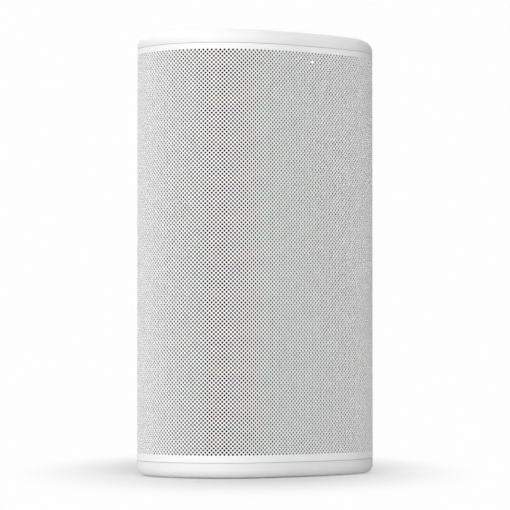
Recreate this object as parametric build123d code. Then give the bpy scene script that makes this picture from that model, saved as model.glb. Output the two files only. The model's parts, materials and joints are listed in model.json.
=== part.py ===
from build123d import *
import os
from math import copysign, cos, hypot, pi, radians, sin, sqrt, tan

# Portable smart speaker: an oval perforated-metal sleeve between a moulded top and base, round a
# moulded cabinet that holds a woofer, two side passive radiators, two angled tweeters, a battery
# and the electronics. Millimetres. +Z is up, the front faces -Y, and the origin is the middle of
# the foot pad, on the surface that the speaker stands on.

# ---------------------------------------------------------------- plan outline
HALF_WIDTH = 56.25  # of the body, along X
HALF_DEPTH = 38.35  # of the body, along Y
OUTLINE_POWER = 3.0  # |x/a|^3 + (y/b)^2 = 1: flat in front and behind, round at the sides
OUTLINE_POINTS = 40

# ---------------------------------------------------------------- skin and walls
GRILLE_THICKNESS = 0.8
CLOTH_THICKNESS = 0.4
SKIN_CLEARANCE = 0.1  # between grille, cloth and cabinet
SEAM = 0.15  # shadow gap between the sleeve and the two caps
CABINET_INSET = GRILLE_THICKNESS + CLOTH_THICKNESS + 2 * SKIN_CLEARANCE
CABINET_WALL = 2.4
SHELF = 2.4
FIT = 0.15  # clearance between a piece and the pocket it drops into

# ---------------------------------------------------------------- fasteners
SCREW_RADIUS = 1.25
SCREW_HEAD_RADIUS = 2.4
SCREW_HEAD_HEIGHT = 1.8
SMALL_SCREW_RADIUS = 0.8
SMALL_HEAD_RADIUS = 1.5
SMALL_HEAD_HEIGHT = 1.0
THREAD_CLEARANCE = 0.05  # between a screw and its pilot hole
PASSING_CLEARANCE = 0.3  # between a screw and a hole it passes through
BOSS_WALL = 1.9  # of plastic round a pilot hole

# ---------------------------------------------------------------- foot and base
FOOT_STANDOFF = 0.3
FOOT_RECESS = 0.8
FOOT_INSET = 8.0
FOOT_EDGE_RADIUS = 0.5
BASE_CAP_HEIGHT = 6.4
BASE_WALL = 2.4
BASE_FLOOR = 2.4
BASE_EDGE_RADIUS = 3.6
BASE_SCREW_X = 42.5
BASE_SCREW_Y = 9.0
BASE_HEAD_SINK = 0.7  # how far the screw heads lie above the foot recess
BASE_SCREW_LENGTH = 11.0

# ---------------------------------------------------------------- battery
CELL_DIAMETER = 21.2
CELL_LENGTH = 70.2
CELL_CLEARANCE = 0.2
BATTERY_WALL = 1.0
BATTERY_CORNER = 3.0
BATTERY_HEADROOM = 2.4
BATTERY_BOARD = 1.2

# ---------------------------------------------------------------- woofer
WOOFER_FLANGE_RADIUS = 40.0
WOOFER_FLANGE = 2.2
WOOFER_LAND = 5.0  # width of the flange ring
WOOFER_EAR_RADIUS = 4.2
WOOFER_EAR_REACH = 2.4  # of the screw circle beyond the flange's edge
WOOFER_GASKET = 0.6
WOOFER_MARGIN = 2.0  # between the flange and the shelves
WOOFER_FRONT_CLEARANCE = 0.8  # between the flange and the cloth
BASKET_WALL = 1.6
BASKET_DEPTH = 21.0
BASKET_WINDOWS = 6
BASKET_SEAT_RADIUS = 26.5
SURROUND_THICKNESS = 0.5
SURROUND_ROLL = 2.35  # inner radius of the half roll
CONE_THICKNESS = 0.5
CONE_DEPTH = 14.2
COIL_RADIUS = 9.5
COIL_WALL = 0.3
COIL_WINDING = 0.4
COIL_GAP = 0.45  # air gap on each side of the coil
SPIDER_DROP = 14.5  # from the mounting plane to the spider's seat
SPIDER_THICKNESS = 0.5
TOP_PLATE = 4.0
MAGNET = 8.0
MAGNET_RADIUS = 26.0
YOKE_PLATE = 4.0
POLE_VENT = 3.0
DUST_CAP_RADIUS = 13.0
DUST_CAP_RISE = 4.5
DUST_CAP_THICKNESS = 0.4

# ---------------------------------------------------------------- front baffle
BAFFLE = 3.0
BAFFLE_GASKET = 0.6
WOOFER_BOSS = 5.0  # behind the baffle, for the woofer's screws
GASKET_LAND = 3.4  # width of the gasket inside the cabinet's wall
BAFFLE_SCREW_RISE = 30.0  # above and below the woofer's centre
BAFFLE_BOSS = 10.0
CABINET_RIB = 2.0

# ---------------------------------------------------------------- passive radiators
RADIATOR_HALF_WIDTH = 16.0  # of the racetrack frame, along Y
RADIATOR_STRAIGHT = 15.0  # half the length of the racetrack's straight sides
RADIATOR_RING = 3.4  # width of the frame's ring
RADIATOR_FRAME = 2.0
RADIATOR_SINK = 2.4  # of the frame's face below the cloth
RADIATOR_ROLL = 1.6  # inner radius of the half roll
RADIATOR_PLATE = 1.6
RADIATOR_POD_WALL = 3.0
RADIATOR_OUTSIDE = 12.0  # beyond the skin, where cuts and pods are trimmed

# ---------------------------------------------------------------- head bay: tweeters and light
HEAD_BAY = 57.4
TWEETER_TURN = 30.0  # degrees that each tweeter turns away from the front
TWEETER_RISE = 25.5  # of the tweeters' centres above the head bay's floor
TWEETER_OUT = 21.0  # of the centres along the facet from the bracket's nose
BRACKET = 2.4
BRACKET_FACET = 42.0
BRACKET_SINK = 2.6  # of the bracket's nose behind the cloth
BRACKET_FOOT_BACK = 17.5  # of the foot's rear edge behind the nose
BRACKET_SCREW_X = 10.0
TWEETER_FLANGE_RADIUS = 14.0
TWEETER_FLANGE = 1.5
TWEETER_CUP_RADIUS = 10.6
TWEETER_CUP_DEPTH = 9.5
TWEETER_CUP_WALL = 1.2
TWEETER_MOUTH_RADIUS = 8.6
TWEETER_DOME_RADIUS = 8.3
TWEETER_DOME_RISE = 3.0
TWEETER_DOME_THICKNESS = 0.3
TWEETER_SCREWS = 3
LIGHT_DROP = 1.7  # of the status light below the head bay's roof
LIGHT_RADIUS = 0.38
LIGHT_FLANGE_RADIUS = 1.4
LIGHT_FLANGE = 0.5
LIGHT_BOARD = 1.0

# ---------------------------------------------------------------- boards
BOARD = 1.6
MAIN_BOARD_HALF_WIDTH = 35.6
MAIN_BOARD_DEPTH = 29.4
MAIN_BOARD_STANDOFF = 4.0
MAIN_BOARD_CLEARANCE = 3.3  # behind the board, to the control board's screw heads
BOARD_SCREW_INSET = 3.0
CHIP_HEIGHT = 1.4
PROCESSOR_SIDE = 16.0
RADIO_CAN = (13.0, 12.0, 2.4)
AMPLIFIER = (6.0, 8.0, 1.0)
AMPLIFIER_X = 12.0
INDUCTOR = (5.4, 5.4, 3.0)
INDUCTOR_PITCH = 6.5
CAPACITOR_RADIUS = 3.1
CAPACITOR_HEIGHT = 7.0
CAPACITOR_PITCH = 8.0
SINK_WIDTH = 30.0
SINK_DEPTH = 22.0
SINK_BASE = 1.6
SINK_FIN = 9.0
SINK_FIN_THICKNESS = 1.2
SINK_FINS = 7
LOOM_RADIUS = 1.6
LOOM_INSET_X = 5.0  # from the main board's side edge
LOOM_INSET_Y = 19.0  # from the main board's front edge
GROMMET_WALL = 1.4
GROMMET_LIP = 0.8

# ---------------------------------------------------------------- rear panel and controls
PANEL_HALF_WIDTH = 17.0
PANEL_THICKNESS = 2.2
PANEL_GAP = 0.25  # beside the panel, to the grille's two ends
CONTROL_BOARD = 1.2
CONTROL_BOARD_GAP = 4.65  # from the panel's inner face to the board's outer face
CONTROL_BOARD_HALF_WIDTH = 16.8
WINDOW_HALF_WIDTH = 11.5
WINDOW_MARGIN = 1.4  # of the cabinet left above and below the control window
CONTROL_SCREW_X = 14.3
CONTROL_SCREW_INSET = 6.0
USB_RISE = 0.1115  # heights of the four controls above the head bay's floor, as shares of the bay
MIC_RISE = 0.338
PAIRING_RISE = 0.6376
POWER_RISE = 0.871
BUTTON_RADIUS = 4.45
BUTTON_PROUD = 0.5
BUTTON_TRAVEL = 0.8
BUTTON_FLANGE = 0.8
BUTTON_FLANGE_LIP = 1.0
STEM_RADIUS = 1.2
SWITCH_SIDE = 6.0
SWITCH_HEIGHT = 1.9
SLIDER_WIDTH = 4.6
SLIDER_LENGTH = 6.0
SLIDER_TRAVEL = 4.0
SLIDER_PROUD = 0.4
LEVER = 1.4
USB_WIDTH = 8.94
USB_HEIGHT = 3.26
USB_WALL = 0.3
USB_MOUTH_SINK = 0.45  # of the socket's mouth below the panel's face
USB_TONGUE_WIDTH = 6.7
USB_TONGUE = 0.7

# ---------------------------------------------------------------- top
SEAL = 0.8
SPIGOT = 1.9  # drop of the cap's locating rim inside the sleeve
SPIGOT_WALL = 2.0
TOP_CAP_HEIGHT = 6.2
TOP_WALL = 2.2
TOP_EDGE_RADIUS = 5.0
CAP_SCREWS = ((43.0, -2.0), (26.0, 24.0))  # and their mirror images
TOUCH_BOARD_HALF_WIDTH = 33.0
TOUCH_BOARD_HALF_DEPTH = 16.0
TROUGH_HALF_LENGTH = 26.0  # of the volume slide, a shallow dished groove
TROUGH_HALF_WIDTH = 5.0
TROUGH_DEPTH = 0.7
MIC_HOLE_RADIUS = 0.6
MIC_HOLE_X = 14.0
MIC_HOLE_Y = 12.0
ANTENNA_LENGTH = 34.0
ANTENNA_WIDTH = 7.0
ANTENNA_Y = 10.0  # of its front edge
ANTENNA = 0.8

# ---------------------------------------------------------------- heights, from the surface up
CABINET_BOTTOM = FOOT_STANDOFF + BASE_CAP_HEIGHT
BATTERY_HEIGHT = CELL_DIAMETER + 2 * (CELL_CLEARANCE + BATTERY_WALL)
BAY_FLOOR = CABINET_BOTTOM + SHELF
LOWER_SHELF = BAY_FLOOR + BATTERY_HEIGHT + BATTERY_HEADROOM
CHAMBER_BOTTOM = LOWER_SHELF + SHELF
WOOFER_Z = CHAMBER_BOTTOM + WOOFER_MARGIN + WOOFER_FLANGE_RADIUS
CHAMBER_TOP = WOOFER_Z + WOOFER_FLANGE_RADIUS + WOOFER_MARGIN
HEAD_BOTTOM = CHAMBER_TOP + SHELF
HEAD_TOP = HEAD_BOTTOM + HEAD_BAY
CABINET_TOP = HEAD_TOP + SHELF
CAP_RIM = CABINET_TOP + SEAL + SPIGOT
TOP = CAP_RIM + TOP_CAP_HEIGHT
SLEEVE_BOTTOM = CABINET_BOTTOM + SEAM
SLEEVE_TOP = CAP_RIM - SEAM
TWEETER_Z = HEAD_BOTTOM + TWEETER_RISE
LIGHT_Z = HEAD_TOP - LIGHT_DROP


# ================================================================ plan outline
def outline_point(turn, inset=0.0):
    """A point of the plan outline, moved inwards along its normal. turn is 0 at the front, 90 at +X."""
    s, c = sin(radians(turn)), cos(radians(turn))
    x = HALF_WIDTH * s
    y = -copysign(HALF_DEPTH * sqrt(max(0.0, 1 - abs(s) ** OUTLINE_POWER)), c)
    nx = copysign(OUTLINE_POWER * abs(s) ** (OUTLINE_POWER - 1) / HALF_WIDTH, s)
    ny = 2 * y / HALF_DEPTH**2
    length = hypot(nx, ny)
    return x - inset * nx / length, y - inset * ny / length


def oval(inset):
    """The plan outline at a constant distance inside the body's outer face, as a face."""
    points = [outline_point(360 * i / OUTLINE_POINTS, inset) for i in range(OUTLINE_POINTS)]
    return make_face(Spline(*points, periodic=True))


def slab(inset, low, high):
    """A solid of the outline between two heights."""
    return Pos(0, 0, low) * extrude(oval(inset), high - low)


def hoop(inset, wall, low, high):
    """A tube of the outline, with its wall inwards of the inset."""
    return slab(inset, low, high) - slab(inset + wall, low, high)


def reach(target, inset, axis):
    """How far the inset outline reaches across at a distance along one axis: 0 is X, 1 is Y."""
    low, high = 0.0, 90.0
    for _ in range(50):
        middle = (low + high) / 2
        along = abs(outline_point(middle, inset)[axis])
        if (along < target) == (axis == 0):
            low = middle
        else:
            high = middle
    return abs(outline_point(low, inset)[1 - axis])


def front_reach(x, inset):
    return reach(x, inset, 0)


def side_reach(y, inset):
    return reach(y, inset, 1)


# ================================================================ small shapes
FRONTWARDS = Rot(90, 0, 0)  # turns +Z to -Y
REARWARDS = Rot(-90, 0, 0)  # turns +Z to +Y
UP = (Align.CENTER, Align.CENTER, Align.MIN)


def rod(radius, low, high):
    return Pos(0, 0, low) * Cylinder(radius, high - low, align=UP)


def block(x0, x1, y0, y1, z0, z1):
    return Pos((x0 + x1) / 2, (y0 + y1) / 2, (z0 + z1) / 2) * Box(x1 - x0, y1 - y0, z1 - z0)


def turned(*points):
    """A solid of revolution about +Z, from its (radius, height) corners."""
    return revolve(make_face(Plane.XZ * Polyline(*points, close=True)), Axis.Z)


def racetrack(half_width, low, high):
    """A racetrack slab with its long axis along X."""
    length = 2 * (RADIATOR_STRAIGHT + half_width)
    return Pos(0, 0, low) * extrude(SlotOverall(length, 2 * half_width), high - low)


def screw(radius, length, head_radius, head_height):
    """A pan-head screw: the head's underside is at 0, and the shank points down."""
    head = rod(head_radius, 0, head_height)
    head = fillet(head.edges().sort_by(Axis.Z)[-1:], head_height * 0.4)
    return head + rod(radius, -length, 0)


def big_screw(length):
    return screw(SCREW_RADIUS, length, SCREW_HEAD_RADIUS, SCREW_HEAD_HEIGHT)


def small_screw(length):
    return screw(SMALL_SCREW_RADIUS, length, SMALL_HEAD_RADIUS, SMALL_HEAD_HEIGHT)


def group(shapes):
    return Compound(children=[solid for shape in shapes for solid in shape.solids()])


def four(x, y):
    """Four places, one in each quarter of the plan."""
    return [(sx * x, sy * y) for sx in (-1, 1) for sy in (-1, 1)]


PILOT = SCREW_RADIUS + THREAD_CLEARANCE
PASSAGE = SCREW_RADIUS + PASSING_CLEARANCE
SMALL_PILOT = SMALL_SCREW_RADIUS + THREAD_CLEARANCE
SMALL_PASSAGE = SMALL_SCREW_RADIUS + PASSING_CLEARANCE
BOSS_RADIUS = PILOT + BOSS_WALL

# ================================================================ places in plan
CLOTH_BACK = front_reach(0, CABINET_INSET - SKIN_CLEARANCE)  # inner face of the cloth in front
WOOFER_Y = -(
    front_reach(WOOFER_FLANGE_RADIUS, CABINET_INSET) - WOOFER_FLANGE - WOOFER_FRONT_CLEARANCE
)
BAFFLE_Y = WOOFER_Y + WOOFER_GASKET  # front face of the baffle
SEAT_Y = BAFFLE_Y + BAFFLE + BAFFLE_GASKET  # front edge of the cabinet's side walls
BAFFLE_SCREW_X = side_reach(SCREW_HEAD_HEIGHT - BAFFLE_Y, CABINET_INSET) - SCREW_HEAD_RADIUS - 0.3
RADIATOR_X = side_reach(RADIATOR_HALF_WIDTH, CABINET_INSET) - RADIATOR_SINK
RADIATOR_SEAT_X = RADIATOR_X - RADIATOR_FRAME
RADIATOR_LAND = RADIATOR_HALF_WIDTH - 1.0  # outer edge of the surround
RADIATOR_ROLL_CENTRE = RADIATOR_HALF_WIDTH - RADIATOR_RING + 0.5 - RADIATOR_ROLL
RADIATOR_PLATE_HALF = RADIATOR_ROLL_CENTRE - RADIATOR_ROLL - 0.1
NOSE_Y = -(front_reach(0, CABINET_INSET) - BRACKET_SINK)
PANEL_BACK = HALF_DEPTH - PANEL_THICKNESS
CONTROL_Y = PANEL_BACK - CONTROL_BOARD_GAP  # outer face of the control board
WINDOW_BOTTOM = HEAD_BOTTOM + WINDOW_MARGIN
WINDOW_TOP = HEAD_TOP - WINDOW_MARGIN
MAIN_BOARD_BACK = CONTROL_Y - CONTROL_BOARD - SMALL_HEAD_HEIGHT - MAIN_BOARD_CLEARANCE
MAIN_BOARD_FRONT = MAIN_BOARD_BACK - MAIN_BOARD_DEPTH
LOOM_X = MAIN_BOARD_HALF_WIDTH - LOOM_INSET_X
LOOM_Y = MAIN_BOARD_FRONT + LOOM_INSET_Y
MAIN_BOARD_Z = HEAD_BOTTOM + MAIN_BOARD_STANDOFF
MAIN_BOARD_TOP = MAIN_BOARD_Z + BOARD

WOOFER = Pos(0, WOOFER_Y, WOOFER_Z) * FRONTWARDS
TWEETERS = {}
for name, side in (("left", -1), ("right", 1)):
    turn = radians(TWEETER_TURN)
    TWEETERS[name] = (
        Pos(side * TWEETER_OUT * cos(turn), NOSE_Y + TWEETER_OUT * sin(turn), TWEETER_Z)
        * Rot(0, 0, side * TWEETER_TURN)
        * FRONTWARDS
    )
RADIATORS = {
    "left": Pos(-RADIATOR_X, 0, WOOFER_Z) * Rot(0, -90, 0),
    "right": Pos(RADIATOR_X, 0, WOOFER_Z) * Rot(0, 90, 0),
}


# ================================================================ base and foot
def foot_pad():
    pad = slab(FOOT_INSET + FIT, 0, FOOT_STANDOFF + FOOT_RECESS)
    return fillet(pad.edges().sort_by(Axis.Z)[:1], FOOT_EDGE_RADIUS)


BASE_HEAD_Z = FOOT_STANDOFF + FOOT_RECESS + BASE_HEAD_SINK + SCREW_HEAD_HEIGHT


def base_cap():
    body = slab(0, FOOT_STANDOFF, CABINET_BOTTOM)
    body = fillet(body.edges().sort_by(Axis.Z)[:1], BASE_EDGE_RADIUS)
    body -= slab(BASE_WALL, FOOT_STANDOFF + BASE_FLOOR, CABINET_BOTTOM)
    for x, y in four(BASE_SCREW_X, BASE_SCREW_Y):
        body += Pos(x, y) * rod(SCREW_HEAD_RADIUS + BOSS_WALL, FOOT_STANDOFF + FOOT_RECESS, CABINET_BOTTOM)
    body -= slab(FOOT_INSET, FOOT_STANDOFF, FOOT_STANDOFF + FOOT_RECESS)
    for x, y in four(BASE_SCREW_X, BASE_SCREW_Y):
        body -= Pos(x, y) * rod(PASSAGE, FOOT_STANDOFF, CABINET_BOTTOM)
        body -= Pos(x, y) * rod(SCREW_HEAD_RADIUS + PASSING_CLEARANCE, FOOT_STANDOFF, BASE_HEAD_Z)
    return body


def base_screws():
    upright = Rot(180, 0, 0) * big_screw(BASE_SCREW_LENGTH)
    return group(Pos(x, y, BASE_HEAD_Z) * upright for x, y in four(BASE_SCREW_X, BASE_SCREW_Y))


# ================================================================ cabinet
def rear_channel():
    """The groove down the back of the cabinet that the rear panel drops into."""
    half = PANEL_HALF_WIDTH + FIT
    groove = hoop(0, PANEL_THICKNESS + SKIN_CLEARANCE, CABINET_BOTTOM, CABINET_TOP)
    return groove & block(-half, half, 0, HALF_DEPTH, CABINET_BOTTOM, CABINET_TOP)


def control_window():
    return block(
        -WINDOW_HALF_WIDTH, WINDOW_HALF_WIDTH, 0, HALF_DEPTH, WINDOW_BOTTOM, WINDOW_TOP
    ) - slab(CABINET_INSET + CABINET_WALL + 1.0, WINDOW_BOTTOM, WINDOW_TOP)


def control_screw_places():
    low = HEAD_BOTTOM + CONTROL_SCREW_INSET
    high = HEAD_TOP - CONTROL_SCREW_INSET
    return [(x, z) for x in (-CONTROL_SCREW_X, CONTROL_SCREW_X) for z in (low, high)]


def main_board_screw_places():
    x = MAIN_BOARD_HALF_WIDTH - BOARD_SCREW_INSET
    rows = (MAIN_BOARD_FRONT + BOARD_SCREW_INSET, MAIN_BOARD_BACK - BOARD_SCREW_INSET)
    return [(side * x, y) for side in (-1, 1) for y in rows]


def baffle_screw_places():
    return [
        (x, WOOFER_Z + dz)
        for x in (-BAFFLE_SCREW_X, BAFFLE_SCREW_X)
        for dz in (-BAFFLE_SCREW_RISE, BAFFLE_SCREW_RISE)
    ]


def cap_screw_places():
    return [(side * x, y) for side in (-1, 1) for x, y in CAP_SCREWS]


def cabinet():
    behind_seat = block(-HALF_WIDTH, HALF_WIDTH, SEAT_Y, HALF_DEPTH, CABINET_BOTTOM, CABINET_TOP)
    outer = slab(CABINET_INSET, CABINET_BOTTOM, CABINET_TOP) & behind_seat
    body = hoop(CABINET_INSET, CABINET_WALL, CABINET_BOTTOM, CABINET_TOP) & behind_seat
    for z in (CABINET_BOTTOM, LOWER_SHELF, CHAMBER_TOP, HEAD_TOP):
        body += slab(CABINET_INSET, z, z + SHELF)
    # a pod in each side wall, which seats a passive radiator below the skin
    pod_low = -RADIATOR_FRAME - RADIATOR_POD_WALL
    for place in RADIATORS.values():
        pod = place * racetrack(RADIATOR_HALF_WIDTH + RADIATOR_POD_WALL, pod_low, RADIATOR_OUTSIDE)
        body += pod & outer
    # bosses behind the baffle, each joined to the side wall by a rib
    for x, z in baffle_screw_places():
        body += Pos(x, SEAT_Y, z) * REARWARDS * rod(BOSS_RADIUS, 0, BAFFLE_BOSS)
        wall = copysign(HALF_WIDTH, x)
        low, high = z - CABINET_RIB / 2, z + CABINET_RIB / 2
        rib = block(min(x, wall), max(x, wall), SEAT_Y, SEAT_Y + BAFFLE_BOSS, low, high)
        body += rib & outer
    for x, y in four(BASE_SCREW_X, BASE_SCREW_Y):
        body += Pos(x, y) * rod(BOSS_RADIUS, CABINET_BOTTOM, BAY_FLOOR + BASE_SCREW_LENGTH - 3)
    for x, y in main_board_screw_places():
        body += Pos(x, y) * rod(SMALL_PILOT + BOSS_WALL, CHAMBER_TOP, MAIN_BOARD_Z)
    for x, z in control_screw_places():
        boss = Pos(x, CONTROL_Y, z) * REARWARDS * rod(SMALL_PILOT + BOSS_WALL, 0, HALF_DEPTH)
        body += boss & slab(CABINET_INSET + CABINET_WALL / 2, CABINET_BOTTOM, CABINET_TOP)
    # openings
    for place in RADIATORS.values():
        body -= place * racetrack(RADIATOR_HALF_WIDTH + FIT, -RADIATOR_FRAME, RADIATOR_OUTSIDE)
        body -= place * racetrack(RADIATOR_HALF_WIDTH - RADIATOR_RING, pod_low, 0)
    body -= rear_channel()
    body -= control_window()
    # screw holes
    for x, z in baffle_screw_places():
        body -= Pos(x, SEAT_Y, z) * REARWARDS * rod(PILOT, 0, BAFFLE_BOSS - 1)
    for x, y in four(BASE_SCREW_X, BASE_SCREW_Y):
        body -= Pos(x, y) * rod(PILOT, CABINET_BOTTOM, BAY_FLOOR + BASE_SCREW_LENGTH - 4)
    for x, y in main_board_screw_places():
        body -= Pos(x, y) * rod(SMALL_PILOT, CHAMBER_TOP + 1, MAIN_BOARD_Z)
    for x, z in control_screw_places():
        body -= Pos(x, CONTROL_Y, z) * REARWARDS * rod(SMALL_PILOT, 0, 3.2)
    for side in (-1, 1):
        pilot = rod(SMALL_PILOT, CHAMBER_TOP + 0.4, HEAD_BOTTOM)
        body -= Pos(side * BRACKET_SCREW_X, bracket_screw_y()) * pilot
    for x, y in cap_screw_places():
        body -= Pos(x, y) * rod(PASSAGE, HEAD_TOP, CABINET_TOP)
    for z in (LOWER_SHELF, CHAMBER_TOP):
        body -= Pos(LOOM_X, LOOM_Y) * rod(LOOM_RADIUS + GROMMET_WALL, z, z + SHELF)
    return body


# ================================================================ front baffle
def baffle_blank(low, high, inset):
    plate = slab(inset, CHAMBER_BOTTOM + FIT, CHAMBER_TOP - FIT)
    return plate & block(-HALF_WIDTH, HALF_WIDTH, low, high, CHAMBER_BOTTOM, CHAMBER_TOP)


def front_baffle():
    body = baffle_blank(BAFFLE_Y, BAFFLE_Y + BAFFLE, CABINET_INSET)
    back = -WOOFER_GASKET - BAFFLE  # of the baffle, seen from the woofer
    for x, z in woofer_screw_places():
        body += WOOFER * Pos(x, z) * rod(BOSS_RADIUS, back - WOOFER_BOSS, back)
    body -= WOOFER * rod(woofer_neck() + FIT, back - WOOFER_BOSS, 0)
    for x, z in woofer_screw_places():
        body -= WOOFER * Pos(x, z) * rod(PILOT, back - WOOFER_BOSS + 1, 0)
    for x, z in baffle_screw_places():
        body -= Pos(x, BAFFLE_Y, z) * REARWARDS * rod(PASSAGE, 0, BAFFLE)
    return body


def baffle_gasket():
    body = baffle_blank(SEAT_Y - BAFFLE_GASKET, SEAT_Y, CABINET_INSET)
    low, high = CHAMBER_BOTTOM + GASKET_LAND, CHAMBER_TOP - GASKET_LAND
    hole = slab(CABINET_INSET + CABINET_WALL + GASKET_LAND, low, high)
    body -= hole - group_bosses()
    for x, z in baffle_screw_places():
        body -= Pos(x, SEAT_Y, z) * FRONTWARDS * rod(PASSAGE, 0, BAFFLE_GASKET)
    return body


def group_bosses():
    """Pads of gasket that stay round the baffle's four screws."""
    pad = rod(BOSS_RADIUS, 0, BAFFLE_GASKET)
    pads = [Pos(x, SEAT_Y, z) * FRONTWARDS * pad for x, z in baffle_screw_places()]
    return group(pads)


def baffle_screws():
    long = big_screw(BAFFLE + BAFFLE_GASKET + BAFFLE_BOSS - 3)
    return group(Pos(x, BAFFLE_Y, z) * FRONTWARDS * long for x, z in baffle_screw_places())


# ================================================================ woofer
def woofer_neck():
    """Outer radius of the basket where it passes the baffle."""
    return WOOFER_FLANGE_RADIUS - WOOFER_LAND + 1.4


def woofer_screw_places():
    offset = (WOOFER_FLANGE_RADIUS + WOOFER_EAR_REACH) / sqrt(2)
    return four(offset, offset)


def woofer_flange(low, high):
    plate = rod(WOOFER_FLANGE_RADIUS, low, high)
    for x, y in woofer_screw_places():
        plate += Pos(x, y) * rod(WOOFER_EAR_RADIUS, low, high)
    for x, y in woofer_screw_places():
        plate -= Pos(x, y) * rod(PASSAGE, low, high)
    return plate


def woofer_gasket():
    return WOOFER * (woofer_flange(-WOOFER_GASKET, 0) - rod(woofer_neck() + FIT, -WOOFER_GASKET, 0))


def woofer_basket():
    rim = WOOFER_FLANGE_RADIUS - WOOFER_LAND  # inner radius of the flange
    neck = woofer_neck()
    seat = BASKET_SEAT_RADIUS
    ledge = seat - BASKET_WALL - 2.0
    floor = -BASKET_DEPTH
    cage = turned(
        (rim, WOOFER_FLANGE), (neck, WOOFER_FLANGE), (neck, -2.5), (seat, -BASKET_DEPTH + 5.0), (seat, floor),
        (coil_outer() + 1.6, floor), (coil_outer() + 1.6, floor + BASKET_WALL + 0.2),
        (ledge, floor + BASKET_WALL + 0.2),
        (ledge, -SPIDER_DROP), (seat - BASKET_WALL, -SPIDER_DROP), (rim, -2.5),
    )
    cage += woofer_flange(0, WOOFER_FLANGE) - rod(rim, 0, WOOFER_FLANGE)
    window = block(ledge - 1, WOOFER_FLANGE_RADIUS, -6.5, 6.5, -SPIDER_DROP + 1.6, -3.4)
    for i in range(BASKET_WINDOWS):
        cage -= Rot(0, 0, 360 * i / BASKET_WINDOWS) * window
    return WOOFER * cage


def coil_outer():
    return COIL_RADIUS + COIL_WALL + COIL_WINDING


def woofer_top_plate():
    top = -BASKET_DEPTH
    inner = coil_outer() + COIL_GAP
    return WOOFER * (rod(MAGNET_RADIUS - 2, top - TOP_PLATE, top) - rod(inner, top - TOP_PLATE, top))


def woofer_magnet():
    top = -BASKET_DEPTH - TOP_PLATE
    return WOOFER * (rod(MAGNET_RADIUS, top - MAGNET, top) - rod(coil_outer() + 4, top - MAGNET, top))


def woofer_yoke():
    top = -BASKET_DEPTH - TOP_PLATE - MAGNET
    back = rod(MAGNET_RADIUS - 2, top - YOKE_PLATE, top)
    back = chamfer(back.edges().sort_by(Axis.Z)[:1], 1.5)
    pole = rod(COIL_RADIUS - COIL_GAP, top, -BASKET_DEPTH)
    return WOOFER * (back + pole - rod(POLE_VENT, top - YOKE_PLATE, -BASKET_DEPTH))


def cone_edge():
    """Radius where the cone ends and its flat lip begins."""
    return WOOFER_FLANGE_RADIUS - WOOFER_LAND - 2 * SURROUND_ROLL - 1.3


def cone_height(radius):
    """Height of the cone's front face at a radius."""
    slope = CONE_DEPTH / (cone_edge() - COIL_RADIUS - COIL_WALL)
    return WOOFER_FLANGE - (cone_edge() - radius) * slope


def woofer_cone():
    neck = COIL_RADIUS + COIL_WALL
    edge = cone_edge()
    lip = edge + 2.2
    drop = CONE_THICKNESS * 1.25
    return WOOFER * turned(
        (neck, cone_height(neck)), (edge, WOOFER_FLANGE), (lip, WOOFER_FLANGE),
        (lip, WOOFER_FLANGE - CONE_THICKNESS), (edge + 0.2, WOOFER_FLANGE - CONE_THICKNESS),
        (neck, cone_height(neck) - drop),
    )


def woofer_voice_coil():
    top = cone_height(COIL_RADIUS + COIL_WALL)
    tube = rod(COIL_RADIUS + COIL_WALL, -BASKET_DEPTH - TOP_PLATE - 2, top) - rod(
        COIL_RADIUS, -BASKET_DEPTH - TOP_PLATE - 2, top
    )
    winding = rod(coil_outer(), -BASKET_DEPTH - TOP_PLATE - 1.5, -BASKET_DEPTH + 1.5) - rod(
        COIL_RADIUS, -BASKET_DEPTH - TOP_PLATE - 1.5, -BASKET_DEPTH + 1.5
    )
    return WOOFER * (tube + winding)


def dome(radius, rise, thickness):
    """A spherical shell cap with its rim at height 0."""
    ball = (radius**2 + rise**2) / (2 * rise)
    shell = Sphere(ball) - Sphere(ball - thickness)
    shell = Pos(0, 0, rise - ball) * shell
    return shell & rod(radius + 1, 0, rise + 1)


def woofer_dust_cap():
    rim = cone_height(DUST_CAP_RADIUS) + 0.05
    return WOOFER * Pos(0, 0, rim) * dome(DUST_CAP_RADIUS, DUST_CAP_RISE, DUST_CAP_THICKNESS)


def woofer_surround():
    roll = SURROUND_ROLL
    skin = SURROUND_THICKNESS
    base = WOOFER_FLANGE
    centre = cone_edge() + 2.3 + roll
    outer = WOOFER_FLANGE_RADIUS - 1.0
    ring = rod(outer, base, base + skin) - rod(centre + roll, base, base + skin)
    ring += rod(centre - roll, base, base + skin) - rod(cone_edge() + 0.4, base, base + skin)
    roll_section = Pos(centre, base) * (Circle(roll + skin) - Circle(roll))
    half = roll_section & Pos(centre, base + roll) * Rectangle(4 * roll, 2 * roll)
    return WOOFER * (ring + revolve(Plane.XZ * half, Axis.Z))


def woofer_spider():
    inner = COIL_RADIUS + COIL_WALL
    outer = BASKET_SEAT_RADIUS - BASKET_WALL - 0.1
    low = -SPIDER_DROP
    high = low + SPIDER_THICKNESS
    disc = rod(outer, low, high) - rod(inner, low, high)
    ripple = (outer - inner - 3.4) / 4
    for i in range(3):
        centre = inner + 0.9 + ripple * (i + 0.7)
        disc -= rod(centre + ripple / 4, low, high) - rod(centre - ripple / 4, low, high)
        crest = turned(
            (centre - ripple / 4 - 0.5, low), (centre - 0.3, high + 0.9), (centre + 0.3, high + 0.9),
            (centre + ripple / 4 + 0.5, low), (centre + ripple / 4 - 0.1, low), (centre, low + 0.9),
            (centre - ripple / 4 + 0.1, low),
        )
        disc += crest
    return WOOFER * disc


def woofer_screws():
    long = big_screw(WOOFER_FLANGE + WOOFER_GASKET + BAFFLE + WOOFER_BOSS - 2)
    return group(WOOFER * Pos(x, y, WOOFER_FLANGE) * long for x, y in woofer_screw_places())


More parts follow.
